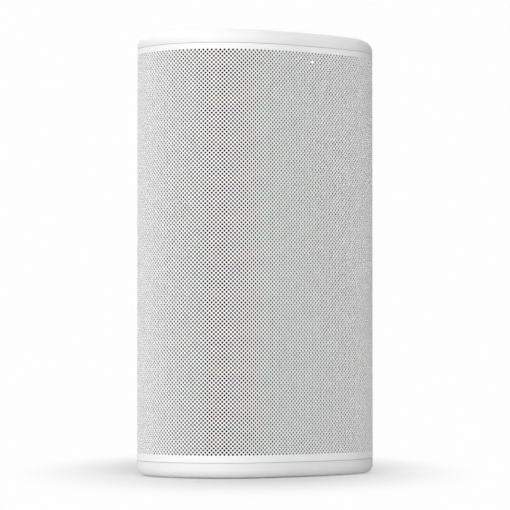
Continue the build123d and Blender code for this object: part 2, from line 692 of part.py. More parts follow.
# ================================================================ passive radiators
def radiator_frame(place):
    ring = racetrack(RADIATOR_HALF_WIDTH, -RADIATOR_FRAME, 0)
    return place * (ring - racetrack(RADIATOR_HALF_WIDTH - RADIATOR_RING, -RADIATOR_FRAME, 0))


def radiator_surround(place):
    skin = SURROUND_THICKNESS
    roll = RADIATOR_ROLL
    centre = RADIATOR_ROLL_CENTRE
    body = racetrack(RADIATOR_LAND, 0, skin) - racetrack(centre + roll, 0, skin)
    body += racetrack(centre - roll, 0, skin) - racetrack(centre - roll - 1.4, 0, skin)
    half = Circle(roll + skin) - Circle(roll) & Pos(0, roll) * Rectangle(4 * roll, 2 * roll)
    end = Rot(0, 0, -90) * revolve(Plane.XZ * Pos(centre, 0) * half, Axis.Z, 180)
    for turn in (0, 180):
        body += Rot(0, 0, turn) * Pos(RADIATOR_STRAIGHT, 0) * end
        side = Pos(-RADIATOR_STRAIGHT, centre) * extrude(Plane.YZ * half, 2 * RADIATOR_STRAIGHT)
        body += Rot(0, 0, turn) * side
    return place * body


def radiator_plate(place):
    plate = racetrack(RADIATOR_PLATE_HALF, -RADIATOR_PLATE, 0)
    weight = racetrack(RADIATOR_PLATE_HALF - 3, -RADIATOR_PLATE - 1.2, -RADIATOR_PLATE)
    crown = racetrack(RADIATOR_PLATE_HALF - 2.4, 0, 0.8)
    crown = chamfer(crown.edges().group_by(Axis.Z)[-1], 0.5)
    return place * (plate + weight + crown)


# ================================================================ tweeters and their bracket
def bracket_screw_y():
    return NOSE_Y + BRACKET_FOOT_BACK - 4.0


def tweeter_bracket():
    turn = radians(TWEETER_TURN)
    low, high = HEAD_BOTTOM, HEAD_TOP - FIT
    x = BRACKET_FACET * cos(turn)
    y = NOSE_Y + BRACKET_FACET * sin(turn)
    back = BRACKET / cos(turn)
    left, right = [(-x, y + back), (-x, y)], [(x, y), (x, y + back)]
    plan = Polyline((0, NOSE_Y), *right, (0, NOSE_Y + back), *left, close=True)
    body = Pos(0, 0, low) * extrude(make_face(plan), high - low)
    foot_x = BRACKET_FOOT_BACK / tan(turn)
    foot_y = NOSE_Y + BRACKET_FOOT_BACK
    foot = Polyline((0, NOSE_Y + 1), (foot_x, foot_y), (-foot_x, foot_y), close=True)
    body += Pos(0, 0, low) * extrude(make_face(foot), BRACKET)
    body += block(-4, 4, NOSE_Y, NOSE_Y + 5, LIGHT_Z - 2.8, high)
    for side in (-1, 1):
        body -= Pos(side * BRACKET_SCREW_X, bracket_screw_y()) * rod(SMALL_PASSAGE, low, low + BRACKET)
    for place in TWEETERS.values():
        body -= place * rod(TWEETER_CUP_RADIUS + FIT, -10, 5)
        for spot in tweeter_screw_places():
            body -= place * spot * rod(SMALL_PILOT, -BRACKET, 0)
    return body


def bracket_screws():
    return group(
        Pos(side * BRACKET_SCREW_X, bracket_screw_y(), HEAD_BOTTOM + BRACKET) * small_screw(BRACKET + 1.8)
        for side in (-1, 1)
    )


def tweeter_screw_places():
    radius = (TWEETER_CUP_RADIUS + TWEETER_FLANGE_RADIUS) / 2 + 0.1
    return [Rot(0, 0, 90 + 360 * i / TWEETER_SCREWS) * Pos(radius, 0) for i in range(TWEETER_SCREWS)]


def tweeter_frame(place):
    cup = TWEETER_CUP_RADIUS
    bore = cup - TWEETER_CUP_WALL
    mouth = TWEETER_MOUTH_RADIUS
    floor = -TWEETER_CUP_DEPTH
    body = turned(
        (mouth, 0.3), (cup, TWEETER_FLANGE),
        (TWEETER_FLANGE_RADIUS, TWEETER_FLANGE), (TWEETER_FLANGE_RADIUS, 0),
        (cup, 0), (cup, floor), (0, floor), (0, floor + TWEETER_CUP_WALL),
        (bore, floor + TWEETER_CUP_WALL), (bore, -0.8), (mouth, -0.8),
    )
    for spot in tweeter_screw_places():
        body -= spot * rod(SMALL_PASSAGE, 0, TWEETER_FLANGE)
    return place * body


def tweeter_magnet(place):
    return place * rod(TWEETER_DOME_RADIUS - 1.3, -TWEETER_CUP_DEPTH + TWEETER_CUP_WALL, -2.0)


def tweeter_dome(place):
    radius = TWEETER_DOME_RADIUS
    former = rod(radius - 0.3, -4.5, 0.3) - rod(radius - 0.6, -4.5, 0.3)
    rim = rod(radius, 0, 0.3) - rod(radius - 0.6, 0, 0.3)
    cap = Pos(0, 0, 0.3) * dome(radius, TWEETER_DOME_RISE, TWEETER_DOME_THICKNESS)
    return place * (former + rim + cap)


def tweeter_screws():
    short = small_screw(TWEETER_FLANGE + BRACKET - 0.3)
    return group(
        place * spot * Pos(0, 0, TWEETER_FLANGE) * short
        for place in TWEETERS.values()
        for spot in tweeter_screw_places()
    )


# ================================================================ status light
def light_board():
    face = NOSE_Y - LIGHT_BOARD
    board = block(-3.6, 3.6, face, NOSE_Y, LIGHT_Z - 2.5, HEAD_TOP - 0.3)
    lamp = Pos(0, face - 0.3, LIGHT_Z) * Box(1.6, 0.6, 0.8)
    return group([board, lamp])


def light_lens():
    back = -(NOSE_Y - LIGHT_BOARD - 0.65)
    flange = rod(LIGHT_FLANGE_RADIUS, back, back + LIGHT_FLANGE)
    pin = rod(LIGHT_RADIUS, back, HALF_DEPTH)
    return Pos(0, 0, LIGHT_Z) * FRONTWARDS * (flange + pin)


def light_hole():
    hole = rod(LIGHT_RADIUS + SKIN_CLEARANCE, CLOTH_BACK - 2, HALF_DEPTH + 1)
    return Pos(0, 0, LIGHT_Z) * FRONTWARDS * hole


# ================================================================ skin
def without_spine(sleeve, gap):
    """Opens a sleeve down the back, where the rear panel sits."""
    half = PANEL_HALF_WIDTH + gap
    return sleeve - block(-half, half, 0, HALF_DEPTH + 1, SLEEVE_BOTTOM, SLEEVE_TOP)


def grille():
    sleeve = hoop(0, GRILLE_THICKNESS, SLEEVE_BOTTOM, SLEEVE_TOP)
    return without_spine(sleeve, PANEL_GAP) - light_hole()


def acoustic_cloth():
    low, high = SLEEVE_BOTTOM + 0.3, SLEEVE_TOP - 0.3
    sleeve = hoop(GRILLE_THICKNESS + SKIN_CLEARANCE, CLOTH_THICKNESS, low, high)
    return without_spine(sleeve, PANEL_GAP) - light_hole()


def control_z(rise):
    return HEAD_BOTTOM + rise * HEAD_BAY


def rear_panel():
    half = PANEL_HALF_WIDTH
    body = hoop(0, PANEL_THICKNESS, SLEEVE_BOTTOM, SLEEVE_TOP)
    body &= block(-half, half, 0, HALF_DEPTH, SLEEVE_BOTTOM, SLEEVE_TOP)
    # above the cabinet the panel narrows to pass outside the cap's locating rim
    body -= slab(CABINET_INSET - SKIN_CLEARANCE, CABINET_TOP, SLEEVE_TOP)
    for rise in (PAIRING_RISE, POWER_RISE):
        hole = rod(BUTTON_RADIUS + FIT, 0, HALF_DEPTH + 1)
        body -= Pos(0, 0, control_z(rise)) * REARWARDS * hole
    slot_half = (SLIDER_LENGTH + SLIDER_TRAVEL) / 2 + FIT
    width_half = SLIDER_WIDTH / 2 + FIT
    middle = control_z(MIC_RISE)
    body -= block(-width_half, width_half, 0, HALF_DEPTH + 1, middle - slot_half, middle + slot_half)
    port = extrude(SlotOverall(USB_WIDTH + 2 * FIT, USB_HEIGHT + 2 * FIT), HALF_DEPTH + 1)
    body -= Pos(0, 0, control_z(USB_RISE)) * REARWARDS * port
    return body


# ================================================================ rear controls
def control_board():
    half = CONTROL_BOARD_HALF_WIDTH
    low, high = HEAD_BOTTOM + 1.0, HEAD_TOP - 1.0
    body = block(-half, half, CONTROL_Y - CONTROL_BOARD, CONTROL_Y, low, high)
    for x, z in control_screw_places():
        body -= Pos(x, CONTROL_Y, z) * FRONTWARDS * rod(SMALL_PASSAGE, 0, CONTROL_BOARD)
    return body


def control_board_screws():
    short = small_screw(CONTROL_BOARD + 2.8)
    place = CONTROL_Y - CONTROL_BOARD
    return group(Pos(x, place, z) * FRONTWARDS * short for x, z in control_screw_places())


def slide_switch_height():
    return SWITCH_HEIGHT + 0.3


def control_switches():
    switches = []
    for rise in (PAIRING_RISE, POWER_RISE):
        box = Pos(0, 0, SWITCH_HEIGHT / 2) * Box(SWITCH_SIDE, SWITCH_SIDE, SWITCH_HEIGHT)
        box -= rod(STEM_RADIUS + 0.2, SWITCH_HEIGHT - 1.5, SWITCH_HEIGHT)
        switches.append(Pos(0, CONTROL_Y, control_z(rise)) * REARWARDS * box)
    height = slide_switch_height()
    slide = Pos(0, 0, height / 2) * Box(LEVER + 3, SLIDER_TRAVEL + LEVER + 4, height)
    slide -= Pos(0, 0, height - 0.7) * Box(LEVER + 0.4, SLIDER_TRAVEL + LEVER + 0.4, 1.4)
    switches.append(Pos(0, CONTROL_Y, control_z(MIC_RISE)) * REARWARDS * slide)
    return group(switches)


def button(rise):
    """A button with a retaining flange behind the panel and a stem that enters its switch."""
    top = CONTROL_BOARD_GAP + PANEL_THICKNESS + BUTTON_PROUD
    flange_top = CONTROL_BOARD_GAP - 0.25
    flange_low = flange_top - BUTTON_FLANGE
    cap = rod(BUTTON_RADIUS, flange_low, top)
    cap = fillet(cap.edges().sort_by(Axis.Z)[-1:], 0.4)
    body = cap + rod(BUTTON_RADIUS + BUTTON_FLANGE_LIP, flange_low, flange_top)
    body += rod(STEM_RADIUS, SWITCH_HEIGHT - 0.4, flange_low)
    return Pos(0, CONTROL_Y, control_z(rise)) * REARWARDS * body


def mic_slider():
    """The microphone switch, at the upper end of its slot."""
    top = CONTROL_BOARD_GAP + PANEL_THICKNESS + SLIDER_PROUD
    flange_top = CONTROL_BOARD_GAP - 0.25
    flange_low = flange_top - BUTTON_FLANGE
    cap = Pos(0, 0, (flange_low + top) / 2) * Box(SLIDER_WIDTH, SLIDER_LENGTH, top - flange_low)
    cap = fillet(cap.edges().group_by(Axis.Z)[-1], 0.3)
    for i in (-1, 0, 1):
        cap -= Pos(0, 1.4 * i, top) * Box(SLIDER_WIDTH - 1.2, 0.5, 0.5)
    flange = Pos(0, 0, (flange_low + flange_top) / 2) * Box(
        SLIDER_WIDTH + 2.8, SLIDER_LENGTH + 2 * SLIDER_TRAVEL + 0.8, BUTTON_FLANGE
    )
    stem_low = slide_switch_height() - 1.0
    stem = Pos(0, 0, (stem_low + flange_low) / 2) * Box(LEVER, LEVER, flange_low - stem_low)
    rest = control_z(MIC_RISE) + SLIDER_TRAVEL / 2
    return Pos(0, CONTROL_Y, rest) * REARWARDS * (cap + flange + stem)


def usb_length():
    return CONTROL_BOARD_GAP + PANEL_THICKNESS - USB_MOUTH_SINK


def usb_shell():
    tube = extrude(SlotOverall(USB_WIDTH, USB_HEIGHT), usb_length())
    bore = extrude(SlotOverall(USB_WIDTH - 2 * USB_WALL, USB_HEIGHT - 2 * USB_WALL), usb_length())
    return Pos(0, CONTROL_Y, control_z(USB_RISE)) * REARWARDS * (tube - Pos(0, 0, 0.8) * bore)


def usb_tongue():
    length = usb_length() - 1.2
    blade = Pos(0, 0, 0.8 + (length - 0.8) / 2) * Box(USB_TONGUE_WIDTH, USB_TONGUE, length - 0.8)
    root = Pos(0, 0, 1.3) * Box(USB_TONGUE_WIDTH, USB_TONGUE + 0.8, 1.0)
    return Pos(0, CONTROL_Y, control_z(USB_RISE)) * REARWARDS * (blade + root)


# ================================================================ electronics
def main_board():
    half = MAIN_BOARD_HALF_WIDTH
    body = block(-half, half, MAIN_BOARD_FRONT, MAIN_BOARD_BACK, MAIN_BOARD_Z, MAIN_BOARD_TOP)
    for x, y in main_board_screw_places():
        body -= Pos(x, y) * rod(SMALL_PASSAGE, MAIN_BOARD_Z, MAIN_BOARD_TOP)
    return body


def main_board_screws():
    short = small_screw(BOARD + 2.8)
    return group(Pos(x, y, MAIN_BOARD_TOP) * short for x, y in main_board_screw_places())


def board_components():
    """Processor, radio can, two amplifiers, power inductors and capacitors on the main board."""
    middle = (MAIN_BOARD_FRONT + MAIN_BOARD_BACK) / 2
    edge = MAIN_BOARD_HALF_WIDTH
    top = MAIN_BOARD_TOP

    def packages(size, places):
        return [Pos(x, y, top + size[2] / 2) * Box(*size) for x, y in places]

    parts = packages((PROCESSOR_SIDE, PROCESSOR_SIDE, CHIP_HEIGHT), [(0, middle)])
    parts += packages(RADIO_CAN, [(RADIO_CAN[0] - edge - 2, middle + 4)])
    parts += packages(AMPLIFIER, [(-AMPLIFIER_X, middle), (AMPLIFIER_X, middle)])
    parts += packages(INDUCTOR, [(edge - 4 - i * INDUCTOR_PITCH, middle - 5) for i in range(3)])
    for i in (1, 2):
        can = rod(CAPACITOR_RADIUS, top, top + CAPACITOR_HEIGHT)
        parts.append(Pos(edge - i * CAPACITOR_PITCH, middle + 4) * can)
    return group(parts)


def heat_sink():
    middle = (MAIN_BOARD_FRONT + MAIN_BOARD_BACK) / 2
    low = MAIN_BOARD_TOP + CHIP_HEIGHT
    body = Pos(0, middle, low + SINK_BASE / 2) * Box(SINK_WIDTH, SINK_DEPTH, SINK_BASE)
    step = (SINK_WIDTH - SINK_FIN_THICKNESS) / (SINK_FINS - 1)
    for i in range(SINK_FINS):
        x = -SINK_WIDTH / 2 + SINK_FIN_THICKNESS / 2 + i * step
        z = low + SINK_BASE + SINK_FIN / 2
        body += Pos(x, middle, z) * Box(SINK_FIN_THICKNESS, SINK_DEPTH, SINK_FIN)
    return body


def battery_half_length():
    return CELL_LENGTH / 2 + CELL_CLEARANCE + BATTERY_WALL + BATTERY_BOARD / 2 + 0.4


def battery_half_depth():
    return CELL_DIAMETER + CELL_CLEARANCE * 1.5 + BATTERY_WALL


def battery_case():
    x, y = battery_half_length(), battery_half_depth()
    body = block(-x, x, -y, y, BAY_FLOOR, BAY_FLOOR + BATTERY_HEIGHT)
    body = fillet(body.edges().filter_by(Axis.Z), BATTERY_CORNER)
    w = BATTERY_WALL
    return body - block(-x + w, x - w, -y + w, y - w, BAY_FLOOR + w, BAY_FLOOR + BATTERY_HEIGHT - w)


def battery_cells():
    z = BAY_FLOOR + BATTERY_WALL + CELL_CLEARANCE + CELL_DIAMETER / 2
    y = CELL_DIAMETER / 2 + CELL_CLEARANCE / 2
    x = -battery_half_length() + BATTERY_WALL + CELL_CLEARANCE
    cell = Rot(0, 90, 0) * rod(CELL_DIAMETER / 2, 0, CELL_LENGTH)
    return group(Pos(x, side * y, z) * cell for side in (-1, 1))


def battery_board():
    x = battery_half_length() - BATTERY_WALL
    y = battery_half_depth() - BATTERY_WALL - 4
    low = BAY_FLOOR + BATTERY_WALL + 2
    return block(x - BATTERY_BOARD, x - 0.1, -y, y, low, BAY_FLOOR + BATTERY_HEIGHT - BATTERY_WALL - 2)


def power_loom():
    """The supply lead from the battery up to the main board, in its straight sleeve."""
    return Pos(LOOM_X, LOOM_Y) * rod(LOOM_RADIUS, BAY_FLOOR + BATTERY_HEIGHT, MAIN_BOARD_Z)


def loom_grommets():
    rings = []
    for z in (LOWER_SHELF, CHAMBER_TOP):
        ring = rod(LOOM_RADIUS + GROMMET_WALL - 0.05, z, z + SHELF)
        ring += rod(LOOM_RADIUS + GROMMET_WALL + 1.0, z + SHELF, z + SHELF + GROMMET_LIP)
        ring -= rod(LOOM_RADIUS + 0.05, z, z + SHELF + GROMMET_LIP)
        rings.append(Pos(LOOM_X, LOOM_Y) * ring)
    return group(rings)


def antenna():
    half, back = ANTENNA_LENGTH / 2, ANTENNA_Y + ANTENNA_WIDTH
    return block(-half, half, ANTENNA_Y, back, HEAD_TOP - ANTENNA, HEAD_TOP)


# ================================================================ top
def top_seal():
    ring = hoop(CABINET_INSET + 0.1, SPIGOT_WALL + 0.4, CABINET_TOP, CABINET_TOP + SEAL)
    half = PANEL_HALF_WIDTH + FIT
    return ring - (rear_channel_above() & block(-half, half, 0, HALF_DEPTH, CABINET_TOP, CAP_RIM))


def rear_channel_above():
    return hoop(0, CABINET_INSET, CABINET_TOP, CAP_RIM)


def top_cap():
    ceiling = TOP - TOP_WALL
    body = slab(0, CAP_RIM, TOP)
    body = fillet(body.edges().sort_by(Axis.Z)[-1:], TOP_EDGE_RADIUS)
    cavity = slab(TOP_WALL, CAP_RIM - 1, ceiling)
    cavity = fillet(cavity.edges().sort_by(Axis.Z)[-1:], TOP_EDGE_RADIUS - TOP_WALL)
    body -= cavity
    body += hoop(CABINET_INSET + 0.1, SPIGOT_WALL, CABINET_TOP + SEAL, CAP_RIM + 1)
    for x, y in cap_screw_places():
        body += Pos(x, y) * rod(BOSS_RADIUS, CABINET_TOP, ceiling + 0.5)
        body -= Pos(x, y) * rod(PILOT, CABINET_TOP, ceiling - 0.5)
    # the volume slide: a groove dished across its width and rounded at its ends
    ball = (TROUGH_HALF_WIDTH**2 + TROUGH_DEPTH**2) / (2 * TROUGH_DEPTH)
    lift = TOP + ball - TROUGH_DEPTH
    straight = TROUGH_HALF_LENGTH - TROUGH_HALF_WIDTH
    groove = Pos(-straight, 0, lift) * Rot(0, 90, 0) * rod(ball, 0, 2 * straight)
    for x in (-straight, straight):
        groove += Pos(x, 0, lift) * Sphere(ball)
    body -= groove
    for x, y in four(MIC_HOLE_X, MIC_HOLE_Y):
        body -= Pos(x, y) * rod(MIC_HOLE_RADIUS, ceiling - 1, TOP + 1)
    return body


def cap_screws():
    upright = Rot(180, 0, 0) * big_screw(SHELF + TOP_CAP_HEIGHT - TOP_WALL)
    return group(Pos(x, y, HEAD_TOP) * upright for x, y in cap_screw_places())


def touch_board():
    ceiling = TOP - TOP_WALL
    x, y = TOUCH_BOARD_HALF_WIDTH, TOUCH_BOARD_HALF_DEPTH
    board = block(-x, x, -y, y, ceiling - CONTROL_BOARD, ceiling)
    board = fillet(board.edges().filter_by(Axis.Z), 6.0)
    solids = [board]
    for mx, my in four(MIC_HOLE_X, MIC_HOLE_Y):
        solids[0] -= Pos(mx, my) * rod(MIC_HOLE_RADIUS, ceiling - CONTROL_BOARD, ceiling)
        solids.append(Pos(mx, my, ceiling - CONTROL_BOARD - 0.5) * Box(3.5, 2.7, 1.0))
    return group(solids)


# ================================================================ all the pieces
def pieces():
    made = {
        "foot_pad": foot_pad(),
        "base_cap": base_cap(),
        "base_screws": base_screws(),
        "cabinet": cabinet(),
        "front_baffle": front_baffle(),
        "baffle_gasket": baffle_gasket(),
        "baffle_screws": baffle_screws(),
        "woofer_basket": woofer_basket(),
        "woofer_gasket": woofer_gasket(),
        "woofer_screws": woofer_screws(),
        "woofer_top_plate": woofer_top_plate(),
        "woofer_magnet": woofer_magnet(),
        "woofer_yoke": woofer_yoke(),
        "woofer_cone": woofer_cone(),
        "woofer_voice_coil": woofer_voice_coil(),
        "woofer_dust_cap": woofer_dust_cap(),
        "woofer_surround": woofer_surround(),
        "woofer_spider": woofer_spider(),
        "tweeter_bracket": tweeter_bracket(),
        "bracket_screws": bracket_screws(),
        "tweeter_screws": tweeter_screws(),
        "light_board": light_board(),
        "light_lens": light_lens(),
        "grille": grille(),
        "acoustic_cloth": acoustic_cloth(),
        "rear_panel": rear_panel(),
        "control_board": control_board(),
        "control_board_screws": control_board_screws(),
        "control_switches": control_switches(),
        "power_button": button(POWER_RISE),
        "pairing_button": button(PAIRING_RISE),
        "mic_slider": mic_slider(),
        "usb_shell": usb_shell(),
        "usb_tongue": usb_tongue(),
        "main_board": main_board(),
        "main_board_screws": main_board_screws(),
        "board_components": board_components(),
        "heat_sink": heat_sink(),
        "battery_case": battery_case(),
        "battery_cells": battery_cells(),
        "battery_board": battery_board(),
        "power_loom": power_loom(),
        "loom_grommets": loom_grommets(),
        "antenna": antenna(),
        "top_seal": top_seal(),
        "top_cap": top_cap(),
        "cap_screws": cap_screws(),
        "touch_board": touch_board(),
    }
    for side, place in RADIATORS.items():
        made[f"radiator_frame_{side}"] = radiator_frame(place)
        made[f"radiator_surround_{side}"] = radiator_surround(place)
        made[f"radiator_plate_{side}"] = radiator_plate(place)
    for side, place in TWEETERS.items():
        made[f"tweeter_frame_{side}"] = tweeter_frame(place)
        made[f"tweeter_magnet_{side}"] = tweeter_magnet(place)
        made[f"tweeter_dome_{side}"] = tweeter_dome(place)
    return made


def main():
    os.makedirs("parts", exist_ok=True)
    for name, shape in pieces().items():
        export_step(shape, f"parts/{name}.step")


if __name__ == "__main__":
    main()
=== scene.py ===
# %% [markdown]
# A portable smart speaker
#
# The object is an upright speaker with a rounded-oval plan. A perforated steel sleeve wraps it
# from the base to the top, and a moulded cap closes each end. A moulded spine at the back covers
# the sleeve's two ends and holds the controls.
#
# The solid model already has every piece at its real size. This script gives each surface its
# finish, lets the soft rings flex, and makes the fine perforations, the printed symbols, the
# lamps and the room.

# %% Load the solid model
import json
from math import ceil, cos, floor, pi, radians, sin

import bmesh
import bpy
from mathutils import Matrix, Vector
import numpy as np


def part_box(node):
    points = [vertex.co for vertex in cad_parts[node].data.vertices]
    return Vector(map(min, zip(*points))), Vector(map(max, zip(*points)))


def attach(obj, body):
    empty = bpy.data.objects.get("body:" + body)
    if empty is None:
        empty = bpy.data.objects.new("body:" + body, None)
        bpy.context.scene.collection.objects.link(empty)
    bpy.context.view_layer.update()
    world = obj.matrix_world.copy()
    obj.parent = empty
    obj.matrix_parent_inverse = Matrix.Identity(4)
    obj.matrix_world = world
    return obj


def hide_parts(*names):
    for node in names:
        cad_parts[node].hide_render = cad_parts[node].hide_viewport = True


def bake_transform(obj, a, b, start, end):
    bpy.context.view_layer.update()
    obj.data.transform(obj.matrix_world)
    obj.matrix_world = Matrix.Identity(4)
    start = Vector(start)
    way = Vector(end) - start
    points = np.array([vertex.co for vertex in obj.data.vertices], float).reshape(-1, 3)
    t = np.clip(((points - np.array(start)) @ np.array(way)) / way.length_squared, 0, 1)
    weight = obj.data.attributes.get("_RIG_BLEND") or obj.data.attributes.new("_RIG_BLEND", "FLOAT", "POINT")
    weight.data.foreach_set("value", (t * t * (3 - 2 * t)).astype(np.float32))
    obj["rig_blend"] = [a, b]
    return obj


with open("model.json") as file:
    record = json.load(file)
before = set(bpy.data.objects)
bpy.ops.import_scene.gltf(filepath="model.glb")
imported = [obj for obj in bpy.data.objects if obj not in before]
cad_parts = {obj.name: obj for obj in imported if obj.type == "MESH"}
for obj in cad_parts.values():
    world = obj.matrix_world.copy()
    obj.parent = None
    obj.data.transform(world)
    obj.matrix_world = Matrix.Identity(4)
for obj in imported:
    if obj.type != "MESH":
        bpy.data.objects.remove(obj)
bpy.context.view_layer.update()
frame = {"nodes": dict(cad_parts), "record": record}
nodes = frame["nodes"]
MM = 0.001

# %% [markdown]
# Measures that the looks need
#
# Most measures come from the boxes of the solid pieces, so that the looks follow the model. The
# sleeve's front and sides give the two half axes of the oval, and its top and bottom give the
# height of the perforated sheet. The rear panel's width says where the sheet has to stop. Only
# the oval's power and the small gap beside the panel are written as numbers.


# %% Read the measures from the pieces
def middle_height(node):
    low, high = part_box(node)
    return (low.z + high.z) / 2


def top_of(node):
    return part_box(node)[1].z


sleeve_low, sleeve_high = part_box("grille")
HALF_WIDTH = sleeve_high.x
HALF_DEPTH = -sleeve_low.y
SLEEVE_BOTTOM = sleeve_low.z
SLEEVE_TOP = sleeve_high.z
PANEL_HALF_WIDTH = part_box("rear_panel")[1].x
PANEL_GAP = 0.25 * MM
LIGHT_Z = middle_height("light_lens")
OUTLINE_POWER = 3.0
print(f"oval {2 * HALF_WIDTH / MM:.1f} by {2 * HALF_DEPTH / MM:.1f} mm")

# %% [markdown]
# One helper for every node tree
#
# Materials and Geometry Nodes are both trees of nodes, and Blender's Python interface takes
# three or four lines for each node. A small class keeps that in one place. It adds a node, sets
# it up and fills its inputs. Its outputs come back as wires, and a wire can be added, multiplied
# or compared in an ordinary expression, which adds the Math nodes for it.


# %% Wires and benches
def math_method(operation, swapped=False):
    """A method that adds a Math node for a wire and another value."""

    def method(wire, other):
        values = (other, wire) if swapped else (wire, other)
        return wire.bench.math(operation, *values)

    return method


class Wire:
    """One output of a node. Arithmetic on it adds Math nodes."""

    def __init__(self, bench, socket):
        self.bench = bench
        self.socket = socket

    __add__ = __radd__ = math_method("ADD")
    __mul__ = __rmul__ = math_method("MULTIPLY")
    __sub__ = math_method("SUBTRACT")
    __rsub__ = math_method("SUBTRACT", swapped=True)
    __truediv__ = math_method("DIVIDE")
    __mod__ = math_method("FLOORED_MODULO")
    __pow__ = math_method("POWER")
    __lt__ = math_method("LESS_THAN")
    __gt__ = math_method("GREATER_THAN")


class Bench:
    """A node tree in the making: a material's, the world's or one of Geometry Nodes."""

    def __init__(self, tree):
        self.tree = tree

    def node(self, kind, inputs=None, **settings):
        """Adds a node. Its settings come first, because its sockets can depend on them."""
        made = self.tree.nodes.new(kind)
        for key, value in settings.items():
            setattr(made, key, value)
        for key, value in (inputs or {}).items():
            for one in value if isinstance(value, list) else [value]:
                if isinstance(one, Wire):
                    self.tree.links.new(one.socket, made.inputs[key])
                else:
                    made.inputs[key].default_value = one
        return made

    def wire(self, kind, inputs=None, out=0, **settings):
        """One output of a new node, the first unless out says another."""
        return Wire(self, self.node(kind, inputs, **settings).outputs[out])

    def geo(self, kind, inputs=None, **settings):
        """The first output of a geometry node."""
        return self.wire("GeometryNode" + kind, inputs, **settings)

    def math(self, operation, *values):
        return self.wire("ShaderNodeMath", dict(enumerate(values)), operation=operation)

    def axes(self, vector):
        """The x, y and z wires of a vector."""
        split = self.node("ShaderNodeSeparateXYZ", {0: vector})
        return [Wire(self, split.outputs[i]) for i in range(3)]

    def point(self, x, y, z):
        return self.wire("ShaderNodeCombineXYZ", {0: x, 1: y, 2: z})

    def mix(self, share, first, second):
        """A colour that goes from first to second as share goes from 0 to 1."""
        inputs = {0: share, 6: first, 7: second}
        return self.wire("ShaderNodeMix", inputs, out=2, data_type="RGBA")

    def noise(self, place, scale, detail=2.0):
        inputs = {"Vector": place, "Scale": scale, "Detail": detail}
        return self.wire("ShaderNodeTexNoise", inputs)

    def bump(self, height, depth, strength=1.0):
        inputs = {"Strength": strength, "Distance": depth, "Height": height}
        return self.wire("ShaderNodeBump", inputs)


def empty_bench(owner):
    """An empty bench for a material or a world."""
    owner.use_nodes = True
    owner.node_tree.nodes.clear()
    return Bench(owner.node_tree)


print("helpers ready")

# %% [markdown]
# A blank material
#
# Each finish starts from the same blank: one Principled shader, and the piece's own coordinates.
# Object coordinates are in metres here, so a noise scale of 2000 has features about half a
# millimetre wide. Numbers that are the same everywhere are set on the shader itself. Only what
# varies over the surface comes through nodes.
#
# A finish is kept under the name of the slot that it belongs to, so that each piece can find it.

# %% Start a material
SHADER_SOCKETS = {
    "base": "Base Color",
    "roughness": "Roughness",
    "metallic": "Metallic",
    "normal": "Normal",
    "glow": "Emission Color",
}
finishes = {}


def blank(name, roughness, metallic=0.0, coat=0.0, sheen=0.0, specular=0.5, glow=0.0):
    """A new finish: its bench, and the coordinates on the piece."""
    material = finishes[name] = bpy.data.materials.new(name)
    bench = empty_bench(material)
    constants = {
        "Roughness": roughness,
        "Metallic": metallic,
        "Coat Weight": coat,
        "Sheen Weight": sheen,
        "Specular IOR Level": specular,
        "Emission Strength": glow,
    }
    shader = bench.wire("ShaderNodeBsdfPrincipled", constants)
    bench.node("ShaderNodeOutputMaterial", {0: shader})
    return bench, bench.wire("ShaderNodeTexCoord", out="Object")


def feed(bench, **wires):
    """Links wires to the shader's sockets, by their short names."""
    shader = bench.tree.nodes["Principled BSDF"]
    for key, wire in wires.items():
        bench.tree.links.new(wire.socket, shader.inputs[SHADER_SOCKETS[key]])


def shade(colour, factor):
    """A colour made lighter or darker, with full alpha."""
    return tuple(min(1.0, c * factor) for c in colour[:3]) + (1.0,)


def toned(bench, share, colour, dark, light):
    """A colour times dark where share is 0, and times light where share is 1."""
    return bench.mix(share, shade(colour, dark), shade(colour, light))


def add_finishes(maker, looks):
    """Makes the finishes of a table of looks."""
    for name, look in looks.items():
        maker(name, **look)
        print("finish:", name)


print("sockets that can vary:", *SHADER_SOCKETS)


# %% [markdown]
# Moulded plastic
#
# A good moulding is spark-eroded: the tool leaves a very fine, even grain that kills the gloss.
# Real mouldings also vary a little in gloss over their length. The finish is therefore a fine
# noise bump, a broad change of roughness, and a tone that drifts by one or two percent.

# %% Moulded finishes
SATIN_SPECULAR = 0.25
TONE_DRIFT = {"dark": 0.985, "light": 1.01}
GLOSS_START = -0.05
GLOSS_DRIFT = 0.06


def moulded(name, colour, roughness, grain=0.25 * MM, depth=0.006 * MM):
    bench, place = blank(name, roughness, specular=SATIN_SPECULAR)
    grains = bench.noise(place, scale=1 / grain, detail=3.0)
    clouds = bench.noise(place, scale=28.0)
    base = toned(bench, clouds, colour, **TONE_DRIFT)
    gloss = roughness + GLOSS_START + clouds * GLOSS_DRIFT + grains * GLOSS_DRIFT
    feed(bench, base=base, roughness=gloss, normal=bench.bump(grains, depth))


WHITE = (0.822, 0.822, 0.822)
MOULDED = {
    "moulded_white": dict(colour=WHITE, roughness=0.5),
    "panel_white": dict(colour=WHITE, roughness=0.45),
    "button_white": dict(
        colour=shade(WHITE, 0.985), roughness=0.36, grain=0.4 * MM, depth=0.003 * MM
    ),
    "moulded_black": dict(
        colour=(0.035, 0.035, 0.036), roughness=0.5, grain=0.4 * MM, depth=0.02 * MM
    ),
    "radiator_ring": dict(colour=(0.045, 0.045, 0.046), roughness=0.4),
    "component_black": dict(colour=(0.03, 0.03, 0.032), roughness=0.45, grain=0.15 * MM),
}
add_finishes(moulded, MOULDED)

# %% [markdown]
# Powder coat
#
# The sleeve is steel with a baked powder coat. The powder melts into a skin with a soft waviness
# of about half a millimetre, which is called orange peel, and a much finer tooth. Two noises at
# two scales give both. The coat is satin, a little smoother than the mouldings.

